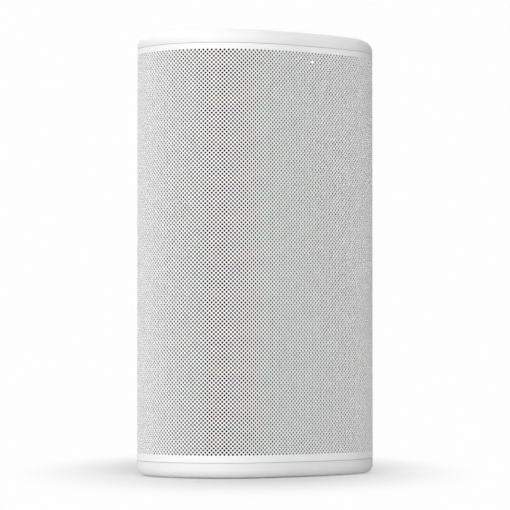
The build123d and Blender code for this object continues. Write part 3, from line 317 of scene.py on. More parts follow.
# %% The sleeve's coat
PEEL_WIDTH = 0.55 * MM
PEEL_DEPTH = 0.006 * MM
TOOTH_WIDTH = 0.12 * MM
TOOTH_SHARE = 0.2


def powder_coat(name, colour, roughness):
    bench, place = blank(name, roughness, specular=SATIN_SPECULAR)
    peel = bench.noise(place, scale=1 / PEEL_WIDTH, detail=1.0)
    tooth = bench.noise(place, scale=1 / TOOTH_WIDTH)
    drift = bench.noise(place, scale=22.0)
    base = toned(bench, drift, colour, **TONE_DRIFT)
    gloss = roughness - 0.04 + tooth * 0.08
    height = peel * (1 - TOOTH_SHARE) + tooth * TOOTH_SHARE
    feed(bench, base=base, roughness=gloss, normal=bench.bump(height, PEEL_DEPTH))


add_finishes(powder_coat, {"grille_white": dict(colour=(0.875, 0.875, 0.875), roughness=0.46)})

# %% [markdown]
# Woven and pressed cloth
#
# Behind the perforations lies a thin dark cloth, the woofer's spider is a stiffened weave, and
# the tweeters have coated silk domes. All three are a plain weave: warp and weft threads that
# pass over and under each other. The product of two sine waves has that pattern. It raises the
# threads themselves, and colours them lighter and the gaps between them darker. The darker gaps
# are partly the open weave and partly painted shade between the raised threads, and the lighter
# crests are painted light.


# %% Woven finishes
WARP_SLANT = 0.7
FUZZ_TONE = 0.3
FUZZ_HEIGHT = 0.4


def woven(name, colour, pitch, depth, roughness=0.85, sheen=0.2):
    bench, place = blank(name, roughness, sheen=sheen)
    x, y, z = bench.axes(place)
    turns = 2 * pi / pitch
    warp = bench.math("SINE", (x + y * WARP_SLANT) * turns)
    weft = bench.math("SINE", z * turns)
    threads = warp * weft * 0.5 + 0.5
    fuzz = bench.noise(place, scale=2 / pitch)
    # painted shade in the gaps and painted light on the raised threads, mixed with a random fuzz
    tone = threads * (1 - FUZZ_TONE) + fuzz * FUZZ_TONE
    base = toned(bench, tone, colour, dark=0.45, light=1.35)
    feed(bench, base=base, normal=bench.bump(threads + fuzz * FUZZ_HEIGHT, depth))


WOVEN = {
    "cloth_black": dict(
        colour=(0.012, 0.012, 0.012), pitch=0.35 * MM, depth=0.05 * MM, roughness=0.9, sheen=0.05
    ),
    "spider_cloth": dict(colour=(0.55, 0.42, 0.2), pitch=0.6 * MM, depth=0.08 * MM),
    "silk_dome": dict(
        colour=(0.06, 0.06, 0.065), pitch=0.25 * MM, depth=0.02 * MM, roughness=0.55
    ),
}
add_finishes(woven, WOVEN)

# %% [markdown]
# Rubber
#
# The foot and the seals are silicone and rubber. They are matt, pick up fine dust and have a
# slightly uneven skin. One noise varies the tone and the gloss, as dust does, and a finer one
# makes the skin uneven.

# %% Rubber finishes
SKIN_GRAIN = 0.3 * MM
SKIN_DEPTH = 0.02 * MM


def rubber(name, colour, roughness=0.8):
    bench, place = blank(name, roughness, specular=0.35)
    dust = bench.noise(place, scale=900.0, detail=4.0)
    skin = bench.noise(place, scale=1 / SKIN_GRAIN)
    base = toned(bench, dust, colour, dark=0.85, light=1.2)
    gloss = roughness - 0.1 + dust * 0.2
    feed(bench, base=base, roughness=gloss, normal=bench.bump(skin, SKIN_DEPTH))


RUBBERS = {
    "rubber_grey": dict(colour=(0.6, 0.6, 0.602)),
    "rubber_black": dict(colour=(0.02, 0.02, 0.02)),
}
add_finishes(rubber, RUBBERS)

# %% [markdown]
# Bare and plated metal
#
# Screws, the magnet circuit, the radiator plates and the port's shell are metal. Rolling and
# drawing leave fine parallel lines, which a noise gives when it is stretched along one axis. The
# lines vary the roughness more than the colour, so the metal glints in streaks.


# %% Metal finishes
STREAK_STRETCH = 0.04
STREAK_DEPTH = 0.004 * MM


def stretched(bench, place, along, share):
    """Coordinates that run slowly along one axis, so that a noise on them is drawn out."""
    slow = [run * share if axis == along else run for axis, run in zip("xyz", bench.axes(place))]
    return bench.point(*slow)


def metal(name, colour, roughness, along="x", lines=6000.0):
    bench, place = blank(name, roughness, metallic=1.0)
    streaks = bench.noise(stretched(bench, place, along, STREAK_STRETCH), scale=lines)
    stain = bench.noise(place, scale=160.0, detail=3.0)
    base = toned(bench, stain, colour, dark=0.88, light=1.06)
    gloss = roughness - 0.1 + streaks * 0.2
    feed(bench, base=base, roughness=gloss, normal=bench.bump(streaks, STREAK_DEPTH))


METALS = {
    "zinc_screw": dict(colour=(0.62, 0.62, 0.63), roughness=0.32),
    "plated_steel": dict(colour=(0.6, 0.59, 0.55), roughness=0.35, along="z"),
    "radiator_alloy": dict(colour=(0.5, 0.5, 0.51), roughness=0.4, along="z", lines=9000.0),
    "heat_sink_alloy": dict(colour=(0.72, 0.72, 0.73), roughness=0.38, along="y"),
    "stainless": dict(colour=(0.6, 0.6, 0.61), roughness=0.28, along="y"),
}
add_finishes(metal, METALS)

# %% [markdown]
# The remaining inner finishes
#
# A ground ferrite magnet is nearly black with a sparkle of grains. A cone is pressed from fibre,
# so short hairs show as a stretched noise. A coil is wound turn by turn, so its lines follow the
# winding, and each turn is coloured lighter on its crest and darker where it meets the next: a
# painted highlight and painted shade that follow the bump. A circuit board shows copper tracks
# under its green mask, and bare pads. A battery's sleeve and the loom's braid are simple, glossy
# and ribbed.


# %% Ferrite, fibre and winding
def wave(bench, run, pitch):
    """A sine wave between 0 and 1 that repeats every pitch along run."""
    return bench.math("SINE", run * (2 * pi / pitch)) * 0.5 + 0.5


def ferrite(name, dark, light):
    bench, place = blank(name, roughness=0.6)
    grains = bench.noise(place, scale=5000.0, detail=3.0)
    base, gloss = bench.mix(grains, dark, light), 0.45 + grains * 0.3
    feed(bench, base=base, roughness=gloss, normal=bench.bump(grains, 0.02 * MM))


def fibre(name, dark, light):
    bench, place = blank(name, roughness=0.8, sheen=0.3)
    hairs = bench.noise(stretched(bench, place, "x", 0.25), scale=4500.0, detail=4.0)
    base = bench.mix(hairs, dark, light)
    feed(bench, base=base, normal=bench.bump(hairs, 0.05 * MM))


def winding(name, dark, light, wire):
    bench, place = blank(name, roughness=0.3, metallic=0.8, coat=0.3)
    turns = wave(bench, bench.axes(place)[1], wire)
    # painted highlight on each turn's crest and painted shade between turns, from the bump's own wave
    base = bench.mix(turns, dark, light)
    feed(bench, base=base, normal=bench.bump(turns, 0.06 * MM))


FERRITE = dict(dark=(0.02, 0.02, 0.021, 1), light=(0.1, 0.1, 0.105, 1))
PAPER = dict(dark=(0.025, 0.025, 0.027, 1), light=(0.1, 0.1, 0.1, 1))
COPPER = dict(dark=(0.35, 0.12, 0.05, 1), light=(0.85, 0.42, 0.2, 1), wire=0.25 * MM)
add_finishes(ferrite, {"ferrite": FERRITE})
add_finishes(fibre, {"paper_cone": PAPER})
add_finishes(winding, {"copper_winding": COPPER})


# %% Board, sleeve and braid
MASK_GREEN = (0.008, 0.075, 0.035, 1)
TRACK_GREEN = (0.02, 0.16, 0.07, 1)
PAD_SILVER = (0.62, 0.6, 0.5, 1)
PAD_RADIUS = 0.16
TRACKS = 60.0
TRACK_EDGE = 0.35


def circuit_board(name):
    bench, place = blank(name, roughness=0.35, coat=0.4)
    lanes = bench.noise(stretched(bench, place, "x", 0.2), scale=700.0, detail=1.0)
    copper = bench.math("SINE", lanes * TRACKS) > TRACK_EDGE
    cells = {"Vector": place, "Scale": 420.0}
    pads = bench.wire("ShaderNodeTexVoronoi", cells, feature="F1") < PAD_RADIUS
    base = bench.mix(pads, bench.mix(copper, MASK_GREEN, TRACK_GREEN), PAD_SILVER)
    feed(bench, base=base, metallic=pads * 0.9, normal=bench.bump(copper, 0.03 * MM))


def ribbed(name, colour, pitch, along, coat):
    bench, place = blank(name, roughness=0.35, coat=coat)
    ribs = wave(bench, bench.axes(place)["xyz".index(along)], pitch)
    base = toned(bench, bench.noise(place, scale=120.0), colour, dark=0.85, light=1.15)
    feed(bench, base=base, normal=bench.bump(ribs, 0.03 * MM, strength=0.4))


RIBBED = {
    "cell_sleeve": dict(colour=(0.05, 0.2, 0.5), pitch=9 * MM, along="x", coat=0.5),
    "loom_sleeve": dict(colour=(0.03, 0.03, 0.03), pitch=1.2 * MM, along="z", coat=0.1),
}
add_finishes(circuit_board, {"circuit_board": {}})
add_finishes(ribbed, RIBBED)

# %% [markdown]
# The status light
#
# The light guide is clear plastic, lit from behind by a white diode. From outside it is simply a
# bright dot. An emission that is strongest in the middle of the guide and falls towards its rim
# looks like a lit lens and not like a painted spot.


# %% The lit lens
GLOW_RADIUS = 0.45 * MM
GLOW_STRENGTH = 0.8
GLOW_MIDDLE = (1.0, 1.0, 1.0, 1)
GLOW_RIM = (0.75, 0.8, 0.86, 1)


def distance(bench, first, second):
    """The length of the line across two distances that are square to each other."""
    return bench.math("SQRT", first * first + second * second)


def lit_lens(name):
    bench, place = blank(name, roughness=0.2, glow=GLOW_STRENGTH)
    x, y, z = bench.axes(place)
    away = distance(bench, x, z - LIGHT_Z) / GLOW_RADIUS
    feed(bench, glow=bench.mix(away, GLOW_MIDDLE, GLOW_RIM))


add_finishes(lit_lens, {"lens_clear": {}})

# %% [markdown]
# Dress every solid piece
#
# Each node of the solid model names the slot that it takes its finish from. One loop gives every
# node its finish, so no piece is left with a plain colour.

# %% Assign the finishes by slot
slot_of = {row["node"]: row["material_slot"] for row in frame["record"]["subparts"]}
for name, piece in nodes.items():
    piece.material_slots[0].material = finishes[slot_of[name]]
print("dressed nodes:", len(nodes))

# %% [markdown]
# Rings that flex
#
# The woofer's cone hangs in a rolled surround at its rim and in a rippled spider at its neck, and
# each radiator's plate hangs in a rolled surround. A ring's inner lip is glued to what moves, and
# its outer lip to the frame. The shares are therefore counted again outwards from the middle, all
# the way round: 0 up to the inner lip, 1 from the outer lip on, and smooth on the roll between
# them.


# %% Blend the rings
AXIS_X, AXIS_Y = 0, 1
SURROUND_ROLL = (31.3 * MM, 36.0 * MM)
SPIDER_ROLL = (11.8 * MM, 19.4 * MM)
RADIATOR_ROLL = (9.8 * MM, 13.2 * MM)


def add_object(name, data):
    """A new object in the scene, at the origin."""
    made = bpy.data.objects.new(name, data)
    bpy.context.scene.collection.objects.link(made)
    return made


def smoothly(share):
    """A share cut off at 0 and 1, with a smooth start and end."""
    share = min(max(share, 0.0), 1.0)
    return share * share * (3 - 2 * share)


def flexing_ring(node, mover, across, roll):
    """A copy of a ring that bends as mover travels. It lies across one level axis and upright."""
    low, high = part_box(node)
    middle = (low + high) / 2
    straight = (high.z - low.z - (high[across] - low[across])) / 2
    ring = add_object(node + "_flexing", nodes[node].data.copy())
    inner, outer = middle.copy(), middle.copy()
    inner[across] += roll[0]
    outer[across] += roll[1]
    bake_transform(ring, mover, "housing", start=inner, end=outer)
    shares = ring.data.attributes["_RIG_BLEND"].data
    for vertex, share in zip(ring.data.vertices, shares):
        level, upright = vertex.co[across] - middle[across], abs(vertex.co.z - middle.z)
        radius = Vector((level, max(upright - straight, 0.0))).length
        share.value = smoothly((radius - roll[0]) / (roll[1] - roll[0]))
    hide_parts(node)
    return ring


rings = [
    flexing_ring("woofer_surround", "woofer_cone_assembly", AXIS_X, SURROUND_ROLL),
    flexing_ring("woofer_spider", "woofer_cone_assembly", AXIS_X, SPIDER_ROLL),
    flexing_ring("radiator_surround_left", "radiator_left", AXIS_Y, RADIATOR_ROLL),
    flexing_ring("radiator_surround_right", "radiator_right", AXIS_Y, RADIATOR_ROLL),
]
print("rings that flex:", [ring.name for ring in rings])

# %% [markdown]
# The perforated sleeve, 1: the lattice
#
# The sheet is punched on a staggered square lattice: the holes in a row are one pitch apart, and
# the next row sits half a pitch higher and half a pitch along. Seen another way, each hole sits
# in the middle of a diamond, and the diamonds tile the sheet without a gap. That is how it is
# built: one diamond with a round hole, set on every lattice point, and a plain diamond wherever
# the sheet has a border without holes.
#
# Nearly thirty thousand holes would be slow to cut with booleans. Geometry Nodes lay out the flat
# sheet in a moment instead, then weld the diamonds together. Each hole has only eight sides,
# which at its size still looks round.
#
# The sheet is punched flat and stretches a little as it is rolled, most where the curve is
# tight. So lengths are counted along a line a little inside the oval, the neutral line, and the
# holes come slightly further apart round the two ends, as on the real sheet.

# %% Sizes of the sheet
PITCH = 1.8 * MM
ROW_STEP = PITCH / 2
HOLE_RADIUS = 0.502 * MM
HOLE_SIDES = 8
SHEET_THICKNESS = 0.48 * MM
NEUTRAL_DEPTH = 0.66 * MM
PLAIN_TOP = 2.85 * MM
PLAIN_BOTTOM = 3.0 * MM
PLAIN_END = 2.0 * MM
OUTLINE_STEPS = 1440


def outline_at(turn):
    """A point of the oval in plan: turn is 0 at the front and a quarter turn at +X."""
    s, c = sin(turn), cos(turn)
    depth = HALF_DEPTH * max(0.0, 1 - abs(s) ** OUTLINE_POWER) ** 0.5
    return HALF_WIDTH * s, -depth if c > 0 else depth


def half_length(depth):
    """Length from the front's middle to the sheet's end at the back, at a depth inside the oval."""
    quarter = OUTLINE_STEPS / 4
    length, i = 0.0, 0
    here, heading = outline_at(0), 0.0
    while i < quarter or here[0] > PANEL_HALF_WIDTH + PANEL_GAP:
        i += 1
        ahead = outline_at(2 * pi * i / OUTLINE_STEPS)
        step = Vector(ahead) - Vector(here)
        turned = step.angle_signed(Vector((1, 0)))
        length += step.length - depth * abs(turned - heading)
        here, heading = ahead, turned
    return length


HALF_SHEET = half_length(NEUTRAL_DEPTH)
FIRST_ROW = ceil((SLEEVE_BOTTOM + PLAIN_BOTTOM - LIGHT_Z) / ROW_STEP)
LAST_ROW = floor((SLEEVE_TOP - PLAIN_TOP - LIGHT_Z) / ROW_STEP)
print(f"sheet {2 * HALF_SHEET / MM:.1f} mm long, {LAST_ROW - FIRST_ROW + 1} rows of holes")

# %% [markdown]
# The perforated sleeve, 2: one node tree
#
# The tree has five stages. It makes the two diamonds, sets them on the lattice, and trims the
# sheet to a straight edge by clamping the points that stand past it. Then it gives the sheet its
# thickness. Last it rolls the sheet: a point at distance u along the flat sheet goes to distance
# u along the neutral line, and its depth is counted from there, square to the line.
#
# The first row is an input of the tree, so that one tree can make several bands of the sheet.

# %% Stages of the tree
JUST_UNDER_HALF = 0.499
SHEET_WELD = 0.01 * MM
PLATE_WELD = 0.005 * MM


def new_geometry_tree(name, sizes):
    """An empty tree with one geometry in and out, and a named input for each size."""
    tree = bpy.data.node_groups.new(name, "GeometryNodeTree")
    tree.is_modifier = True
    tree.interface.new_socket("Geometry", in_out="INPUT", socket_type="NodeSocketGeometry")
    tree.interface.new_socket("Geometry", in_out="OUTPUT", socket_type="NodeSocketGeometry")
    for size in sizes:
        tree.interface.new_socket(size, in_out="INPUT", socket_type="NodeSocketFloat")
    bench = Bench(tree)
    given = bench.node("NodeGroupInput")
    return bench, {size: Wire(bench, given.outputs[size]) for size in sizes}


def points_of(bench):
    """The x, y and z of every point, where they are used."""
    return bench.axes(bench.geo("InputPosition"))


def placed(bench, geometry, place):
    return bench.geo("SetPosition", {"Geometry": geometry, "Position": place})


def shifted(bench, geometry, offset):
    return bench.geo("SetPosition", {"Geometry": geometry, "Offset": offset})


def welded(bench, geometry, distance):
    return bench.geo("MergeByDistance", {"Geometry": geometry, "Distance": distance})


def joined(bench, parts):
    return bench.geo("JoinGeometry", {0: parts})


def polygon(bench, sides, radius):
    """A closed curve with equal sides: four make the diamond, many make an oval's ring."""
    inputs = {"Resolution": sides, "Radius": radius}
    return bench.geo("CurvePrimitiveCircle", inputs)


def oval_curve(bench, half_width, half_depth, power):
    """The oval as a closed curve that starts at the front and runs towards +X."""
    ring = polygon(bench, OUTLINE_STEPS, 1.0)
    turn = bench.geo("InputIndex") * (2 * pi / OUTLINE_STEPS)
    s = bench.math("SINE", turn)
    front = bench.math("SIGN", bench.math("COSINE", turn))
    reach = (1.0 - bench.math("ABSOLUTE", s) ** power) ** 0.5
    place = bench.point(half_width * s, half_depth * reach * front * -1.0, 0.0)
    return placed(bench, ring, place)


def flat_grid(bench, width, height, columns, rows):
    inputs = {"Size X": width, "Size Y": height, "Vertices X": columns, "Vertices Y": rows}
    return bench.geo("MeshGrid", inputs)


def lattice(bench, size, columns, rows):
    """The lattice points of a band, from row First to row First + rows - 1."""
    grid = flat_grid(bench, (columns - 1) * PITCH, (rows - 1) * ROW_STEP, columns, rows)
    x, y, z = points_of(bench)
    row = bench.math("ROUND", y / ROW_STEP + (rows - 1) / 2) + size["First"]
    odd = row % 2.0
    place = bench.point(x + odd * ROW_STEP, row * ROW_STEP + size["Anchor"], 0.0)
    return placed(bench, grid, place)


def thickened(bench, size, sheet):
    """A flat sheet made a closed plate: a copy goes back by Thickness, with walls between."""
    backwards = bench.point(0.0, 0.0, -1.0)
    offset = {"Offset": backwards, "Offset Scale": size["Thickness"]}
    inputs = {"Mesh": sheet, **offset, "Individual": False}
    walls = bench.geo("ExtrudeMesh", inputs, mode="FACES")
    turned = bench.geo("FlipFaces", {0: walls})
    return welded(bench, joined(bench, [turned, sheet]), PLATE_WELD)


def neutral_line(bench, size):
    """The oval moved inwards by Neutral, square to itself."""
    oval = oval_curve(bench, size["Half Width"], size["Half Depth"], size["Power"])
    tx, ty, tz = bench.axes(bench.geo("InputTangent"))
    inwards = bench.point(ty * size["Neutral"] * -1.0, tx * size["Neutral"], 0.0)
    return shifted(bench, oval, inwards)


def rolled_up(bench, size, plate):
    """A flat plate rolled round the oval: x becomes the way along it, z the depth from it."""
    line = neutral_line(bench, size)
    u, v, w = points_of(bench)
    run = u % bench.geo("CurveLength", {0: line})
    inputs = {"Curves": line, "Length": run}
    sample = bench.node("GeometryNodeSampleCurve", inputs, mode="LENGTH")
    px, py, pz = bench.axes(Wire(bench, sample.outputs["Position"]))
    tx, ty, tz = bench.axes(Wire(bench, sample.outputs["Tangent"]))
    out = w + size["Neutral"]
    place = bench.point(px + ty * out, py - tx * out, v)
    return placed(bench, plate, place)


def finish_tree(bench, geometry, finish):
    """The end of every tree: real faces with a material on them."""
    real = bench.geo("RealizeInstances", {0: geometry})
    coated = bench.geo("SetMaterial", {0: real, "Material": finishes[finish]})
    bench.node("NodeGroupOutput", {0: coated})
    return bench.tree


print("tree stages ready")


# %% Put the stages together
def filled(bench, curves):
    """A flat cell between closed curves: an inner curve is a hole."""
    return bench.geo("FillCurve", {0: joined(bench, curves)}, mode="TRIANGLES")


def tiled(bench, size, points):
    """Cells on the lattice points: punched where holes belong, and plain in the border."""
    corners = polygon(bench, 4, size["Pitch"] * 0.5)
    hole = polygon(bench, HOLE_SIDES, size["Hole Radius"])
    u, v, w = points_of(bench)
    along = bench.math("ABSOLUTE", u)
    edge = size["Pitch"] * JUST_UNDER_HALF
    low, high = size["Low"] - edge, size["High"] + edge
    inside = (along < size["Half Length"] + edge) * (v > low) * (v < high)
    punched = (along < size["Hole Reach"]) * (v > size["Hole Low"]) * (v < size["Hole High"])
    choices = [(inside * punched, [corners, hole]), (inside * (1.0 - punched), [corners])]
    cells = []
    for chosen, curves in choices:
        inputs = {0: points, 1: chosen, 2: filled(bench, curves)}
        cells.append(bench.geo("InstanceOnPoints", inputs))
    return bench.geo("RealizeInstances", {0: joined(bench, cells)})


def clamped(bench, value, low, high):
    return bench.math("MINIMUM", bench.math("MAXIMUM", value, low), high)


def trimmed(bench, size, flat):
    """The sheet with straight edges: points past an edge are set on it, and doubles are welded."""
    u, v, w = points_of(bench)
    trimmed_u = clamped(bench, u, size["Half Length"] * -1.0, size["Half Length"])
    trimmed_v = clamped(bench, v, size["Low"], size["High"])
    moved = placed(bench, flat, bench.point(trimmed_u, trimmed_v, 0.0))
    return welded(bench, moved, SHEET_WELD)


def perforated_tree(name, sizes, columns, rows):
    bench, size = new_geometry_tree(name, sizes)
    flat = tiled(bench, size, lattice(bench, size, columns, rows))
    solid = thickened(bench, size, trimmed(bench, size, flat))
    return finish_tree(bench, rolled_up(bench, size, solid), "grille_white")


print("tree ready")

# %% [markdown]
# The perforated sleeve, 3: bands
#
# A mesh of more than 200,000 triangles is awkward to use later, so the sleeve is made as several
# bands of rows, one above the other. Neighbouring bands meet along the zigzag edges of their
# diamonds, which fit each other exactly, so no joint shows.


# %% From a tree to a plain mesh
SMOOTH_ANGLE = radians(35)


def set_input(modifier, name, value):
    """Sets a modifier's input by its socket's identifier."""
    for item in modifier.node_group.interface.items_tree:
        if item.name == name and item.in_out == "INPUT":
            modifier[item.identifier] = value


def plain_mesh(name, tree, values):
    """The mesh that a tree makes, with no modifier left on it."""
    carrier = add_object(name, bpy.data.meshes.new(name + "_empty"))
    modifier = carrier.modifiers.new(name, "NODES")
    modifier.node_group = tree
    for key, value in values.items():
        set_input(modifier, key, value)
    bpy.context.view_layer.update()
    evaluated = carrier.evaluated_get(bpy.context.evaluated_depsgraph_get())
    mesh = bpy.data.meshes.new_from_object(evaluated)
    carrier.modifiers.remove(modifier)
    carrier.data = mesh
    mesh.shade_smooth()
    mesh.set_sharp_from_angle(angle=SMOOTH_ANGLE)
    return carrier


def triangles(piece):
    return sum(len(face.vertices) - 2 for face in piece.data.polygons)


print("smooth below", round(SMOOTH_ANGLE, 2), "radians")

# %% Make the bands
BANDS = 8
EXTRA_ROWS = 5
all_rows = list(range(FIRST_ROW - EXTRA_ROWS, LAST_ROW + EXTRA_ROWS + 1))
rows_each = ceil(len(all_rows) / BANDS)
columns = 2 * ceil(HALF_SHEET / PITCH) + 3
oval_values = {"Half Width": HALF_WIDTH, "Half Depth": HALF_DEPTH, "Power": OUTLINE_POWER}
sheet_values = {
    **oval_values, "Neutral": NEUTRAL_DEPTH, "Half Length": HALF_SHEET,
    "Low": SLEEVE_BOTTOM, "High": SLEEVE_TOP, "Thickness": SHEET_THICKNESS,
    "Pitch": PITCH, "Anchor": LIGHT_Z, "Hole Radius": HOLE_RADIUS,
    "Hole Low": LIGHT_Z + (FIRST_ROW - 0.5) * ROW_STEP,
    "Hole High": LIGHT_Z + (LAST_ROW + 0.5) * ROW_STEP,
    "Hole Reach": HALF_SHEET - PLAIN_END,
}
sheet_trees = {}
bands = []
for i in range(BANDS):
    rows = all_rows[i * rows_each:(i + 1) * rows_each]
    count = len(rows)
    if count not in sheet_trees:
        tree_name = f"perforated_sheet_{count}"
        sheet_trees[count] = perforated_tree(tree_name, [*sheet_values, "First"], columns, count)
    values = {**sheet_values, "First": float(rows[0])}
    band = plain_mesh(f"sleeve_band_{i + 1}", sheet_trees[count], values)
    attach(band, "housing")
    bands.append(band)
    print(band.name, "rows", count, "triangles", triangles(band))
for band in bands:
    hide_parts("grille")

# %% [markdown]
# The acoustic cloth
#
# A dark, open cloth lies against the inside of the sleeve. It keeps dust out and makes the holes
# read as black. It was cut as a rectangle, a little narrower than the sleeve, and is stretched
# round the cabinet, so it is rolled by the same stage of the tree, only deeper. Its own middle is
# the layer that keeps its length, which gives the width that it was cut to.


# %% Roll the cloth
cloth_low, cloth_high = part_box("acoustic_cloth")
CLOTH_INSET = HALF_WIDTH - cloth_high.x
CLOTH_THICKNESS = 0.4 * MM
CLOTH_DEPTH = CLOTH_INSET + CLOTH_THICKNESS / 2
CLOTH_COLUMNS = 241
CLOTH_ROWS = 9


def cloth_tree(sizes):
    bench, size = new_geometry_tree("acoustic_cloth", sizes)
    width, height = size["Half Length"] * 2.0, size["High"] - size["Low"]
    grid = flat_grid(bench, width, height, CLOTH_COLUMNS, CLOTH_ROWS)
    middle = bench.point(0.0, (size["High"] + size["Low"]) * 0.5, size["Inset"] * -1.0)
    flat = shifted(bench, grid, middle)
    plate = thickened(bench, size, flat)
    return finish_tree(bench, rolled_up(bench, size, plate), "cloth_black")


HALF_CLOTH = half_length(CLOTH_DEPTH)
cloth_values = {
    **oval_values, "Neutral": CLOTH_DEPTH, "Half Length": HALF_CLOTH,
    "Low": cloth_low.z, "High": cloth_high.z, "Inset": CLOTH_INSET, "Thickness": CLOTH_THICKNESS,
}
cloth = plain_mesh("stretched_cloth", cloth_tree(cloth_values), cloth_values)
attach(cloth, "housing")
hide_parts("acoustic_cloth")

# %% [markdown]
# Printed symbols
#
# The controls carry small printed symbols: power, link, microphone and charging at the back, and
# minus, plus, play and microphone on top. Pad printing leaves a film of ink with crisp edges,
# which stands about two hundredths of a millimetre proud. Each symbol is made from strokes with
# round ends and from filled shapes. Both are drawn flat and get the thickness of the film.

# %% Strokes, shapes and films
INK_THICKNESS = 0.03 * MM
INK_SUNK = 0.01 * MM
STROKE = 0.3 * MM
END_STEPS = 8


def arc(centre, radius, start, end, steps=20):
    """Points on an arc, from start to end in degrees."""
    turns = [radians(start + (end - start) * i / steps) for i in range(steps + 1)]
    return [(centre[0] + radius * cos(t), centre[1] + radius * sin(t)) for t in turns]


def stroke_edges(path, width):
    """The two edges of a stroke along a path."""
    left, right = [], []
    for i, (x, y) in enumerate(path):
        before, after = path[max(i - 1, 0)], path[min(i + 1, len(path) - 1)]
        along = Vector((after[0] - before[0], after[1] - before[1])).normalized()
        side = Vector((-along.y, along.x)) * width / 2
        left.append((x + side.x, y + side.y))
        right.append((x - side.x, y - side.y))
    return left, right


def stroke_outline(path, width=STROKE):
    """The outline of a stroke with round ends."""
    left, right = stroke_edges(path, width)

    def end_cap(tip, edge):
        dx, dy = edge[0] - tip[0], edge[1] - tip[1]
        turns = [-pi * k / END_STEPS for k in range(1, END_STEPS)]
        spokes = [(dx * cos(t) - dy * sin(t), dx * sin(t) + dy * cos(t)) for t in turns]
        return [(tip[0] + across, tip[1] + up) for across, up in spokes]

    return left + end_cap(path[-1], left[-1]) + right[::-1] + end_cap(path[0], right[0])


def printed(name, shapes, place, body):
    """Outlines made into one film of ink. place puts a point (across, up, out) on the surface."""
    bm = bmesh.new()
    for outline in shapes:
        low = [bm.verts.new(place(a, b, -INK_SUNK)) for a, b in outline]
        high = [bm.verts.new(place(a, b, INK_THICKNESS - INK_SUNK)) for a, b in outline]
        bm.faces.new(high)
        bm.faces.new(low[::-1])
        for i in range(len(outline)):
            j = (i + 1) % len(outline)
            bm.faces.new((low[i], low[j], high[j], high[i]))
    bmesh.ops.recalc_face_normals(bm, faces=bm.faces)
    mesh = bpy.data.meshes.new(name)
    bm.to_mesh(mesh)
    bm.free()
    mesh.materials.append(finishes["ink_grey"])
    piece = add_object(name, mesh)
    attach(piece, body)
    print(name, len(mesh.polygons), "faces")


INK = dict(colour=(0.30, 0.30, 0.305), roughness=0.5, grain=0.1 * MM, depth=0.002 * MM)
add_finishes(moulded, {"ink_grey": INK})

# %% Draw the rear symbols
POWER_OPENING = 32
FINE_STROKE = STROKE * 0.8


def power_symbol(r):
    """A ring that is open at the top, with a bar in the opening."""
    ring = stroke_outline(arc((0, 0), r, 90 + POWER_OPENING, 450 - POWER_OPENING, 40))
    return [ring, stroke_outline([(0, 0.35 * r), (0, 1.15 * r)])]


def link_symbol(r):
    """Two open links of a chain, each a U, that reach towards each other."""
    shapes = []
    for side in (-1, 1):
        bend = arc((side * 0.95 * r, 0), 0.5 * r, 90 * side + 90, 90 * side - 90, 16)
        path = [(side * 0.35 * r, bend[0][1])] + bend + [(side * 0.35 * r, bend[-1][1])]
        shapes.append(stroke_outline(path))
    return shapes + [stroke_outline([(-0.5 * r, 0), (0.5 * r, 0)])]


def microphone_symbol(r):
    body = arc((0, 0.55 * r), 0.3 * r, 0, 180) + arc((0, 0), 0.3 * r, 180, 360)
    cradle = stroke_outline(arc((0, 0), 0.6 * r, 180, 360, 24), FINE_STROKE)
    stem = stroke_outline([(0, -0.78 * r), (0, -1.05 * r)], FINE_STROKE)
    return [body, cradle, stem]


def charge_symbol(r):
    """A lightning bolt."""
    bolt = [(0.25, 1.0), (-0.5, -0.15), (-0.05, -0.15), (-0.25, -1.0), (0.5, 0.2), (0.08, 0.2)]
    return [[(across * r, up * r) for across, up in bolt]]


MICROPHONE_SIZE = 1.6 * MM
power, link = power_symbol(1.7 * MM), link_symbol(1.5 * MM)
microphone, charge = microphone_symbol(MICROPHONE_SIZE), charge_symbol(1.5 * MM)
print("outlines:", [len(shapes) for shapes in (power, link, microphone, charge)])


# %% Print the rear symbols
def on_back(node, height):
    """Places a symbol on a rear surface, seen from behind, at a height above the floor."""
    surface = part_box(node)[1].y
    return lambda across, up, outwards: (-across, surface + outwards, height + up)


POWER_HEIGHT, PAIRING_HEIGHT = middle_height("power_button"), middle_height("pairing_button")
ABOVE_SLIDER = top_of("mic_slider") - 0.4 * MM  # the slider's box has a hidden flange at its top
ABOVE_PORT = top_of("usb_shell") + 3.0 * MM
printed("power_mark", power, on_back("power_button", POWER_HEIGHT), "power_button")
printed("link_mark", link, on_back("pairing_button", PAIRING_HEIGHT), "pairing_button")
printed("microphone_mark", microphone, on_back("rear_panel", ABOVE_SLIDER), "housing")
printed("charge_mark", charge, on_back("rear_panel", ABOVE_PORT), "housing")

# %% [markdown]
# The touch symbols on top
#
# A dished groove across the top works as the volume slide: a finger feels it without looking.
# A minus and a plus are printed outside its ends, play and pause in front of its middle, and a
# microphone behind it, between the holes of the microphones.


# %% Print the top symbols
def bar(start, end):
    """A stroke between two points given in millimetres."""
    return stroke_outline([(across * MM, up * MM) for across, up in (start, end)])


def on_top(across, back):
    """Places a symbol on the top, with its middle at a point given in millimetres."""
    top = top_of("top_cap")
    return lambda a, b, outwards: (across * MM + a, back * MM + b, top + outwards)


TRIANGLE = [(-1.9 * MM, 1.1 * MM), (-1.9 * MM, -1.1 * MM), (-0.1 * MM, 0)]
MINUS = [bar((-1.3, 0), (1.3, 0))]
PLUS = MINUS + [bar((0, 0.15), (0, 1.3)), bar((0, -0.15), (0, -1.3))]
PLAY = [TRIANGLE, bar((0.7, 0.95), (0.7, -0.95)), bar((1.5, 0.95), (1.5, -0.95))]
printed("minus_mark", MINUS, on_top(-30.5, 0), "housing")
printed("plus_mark", PLUS, on_top(30.5, 0), "housing")
printed("play_mark", PLAY, on_top(0, -12.0), "housing")
printed("listening_mark", microphone, on_top(0, 12.0), "housing")

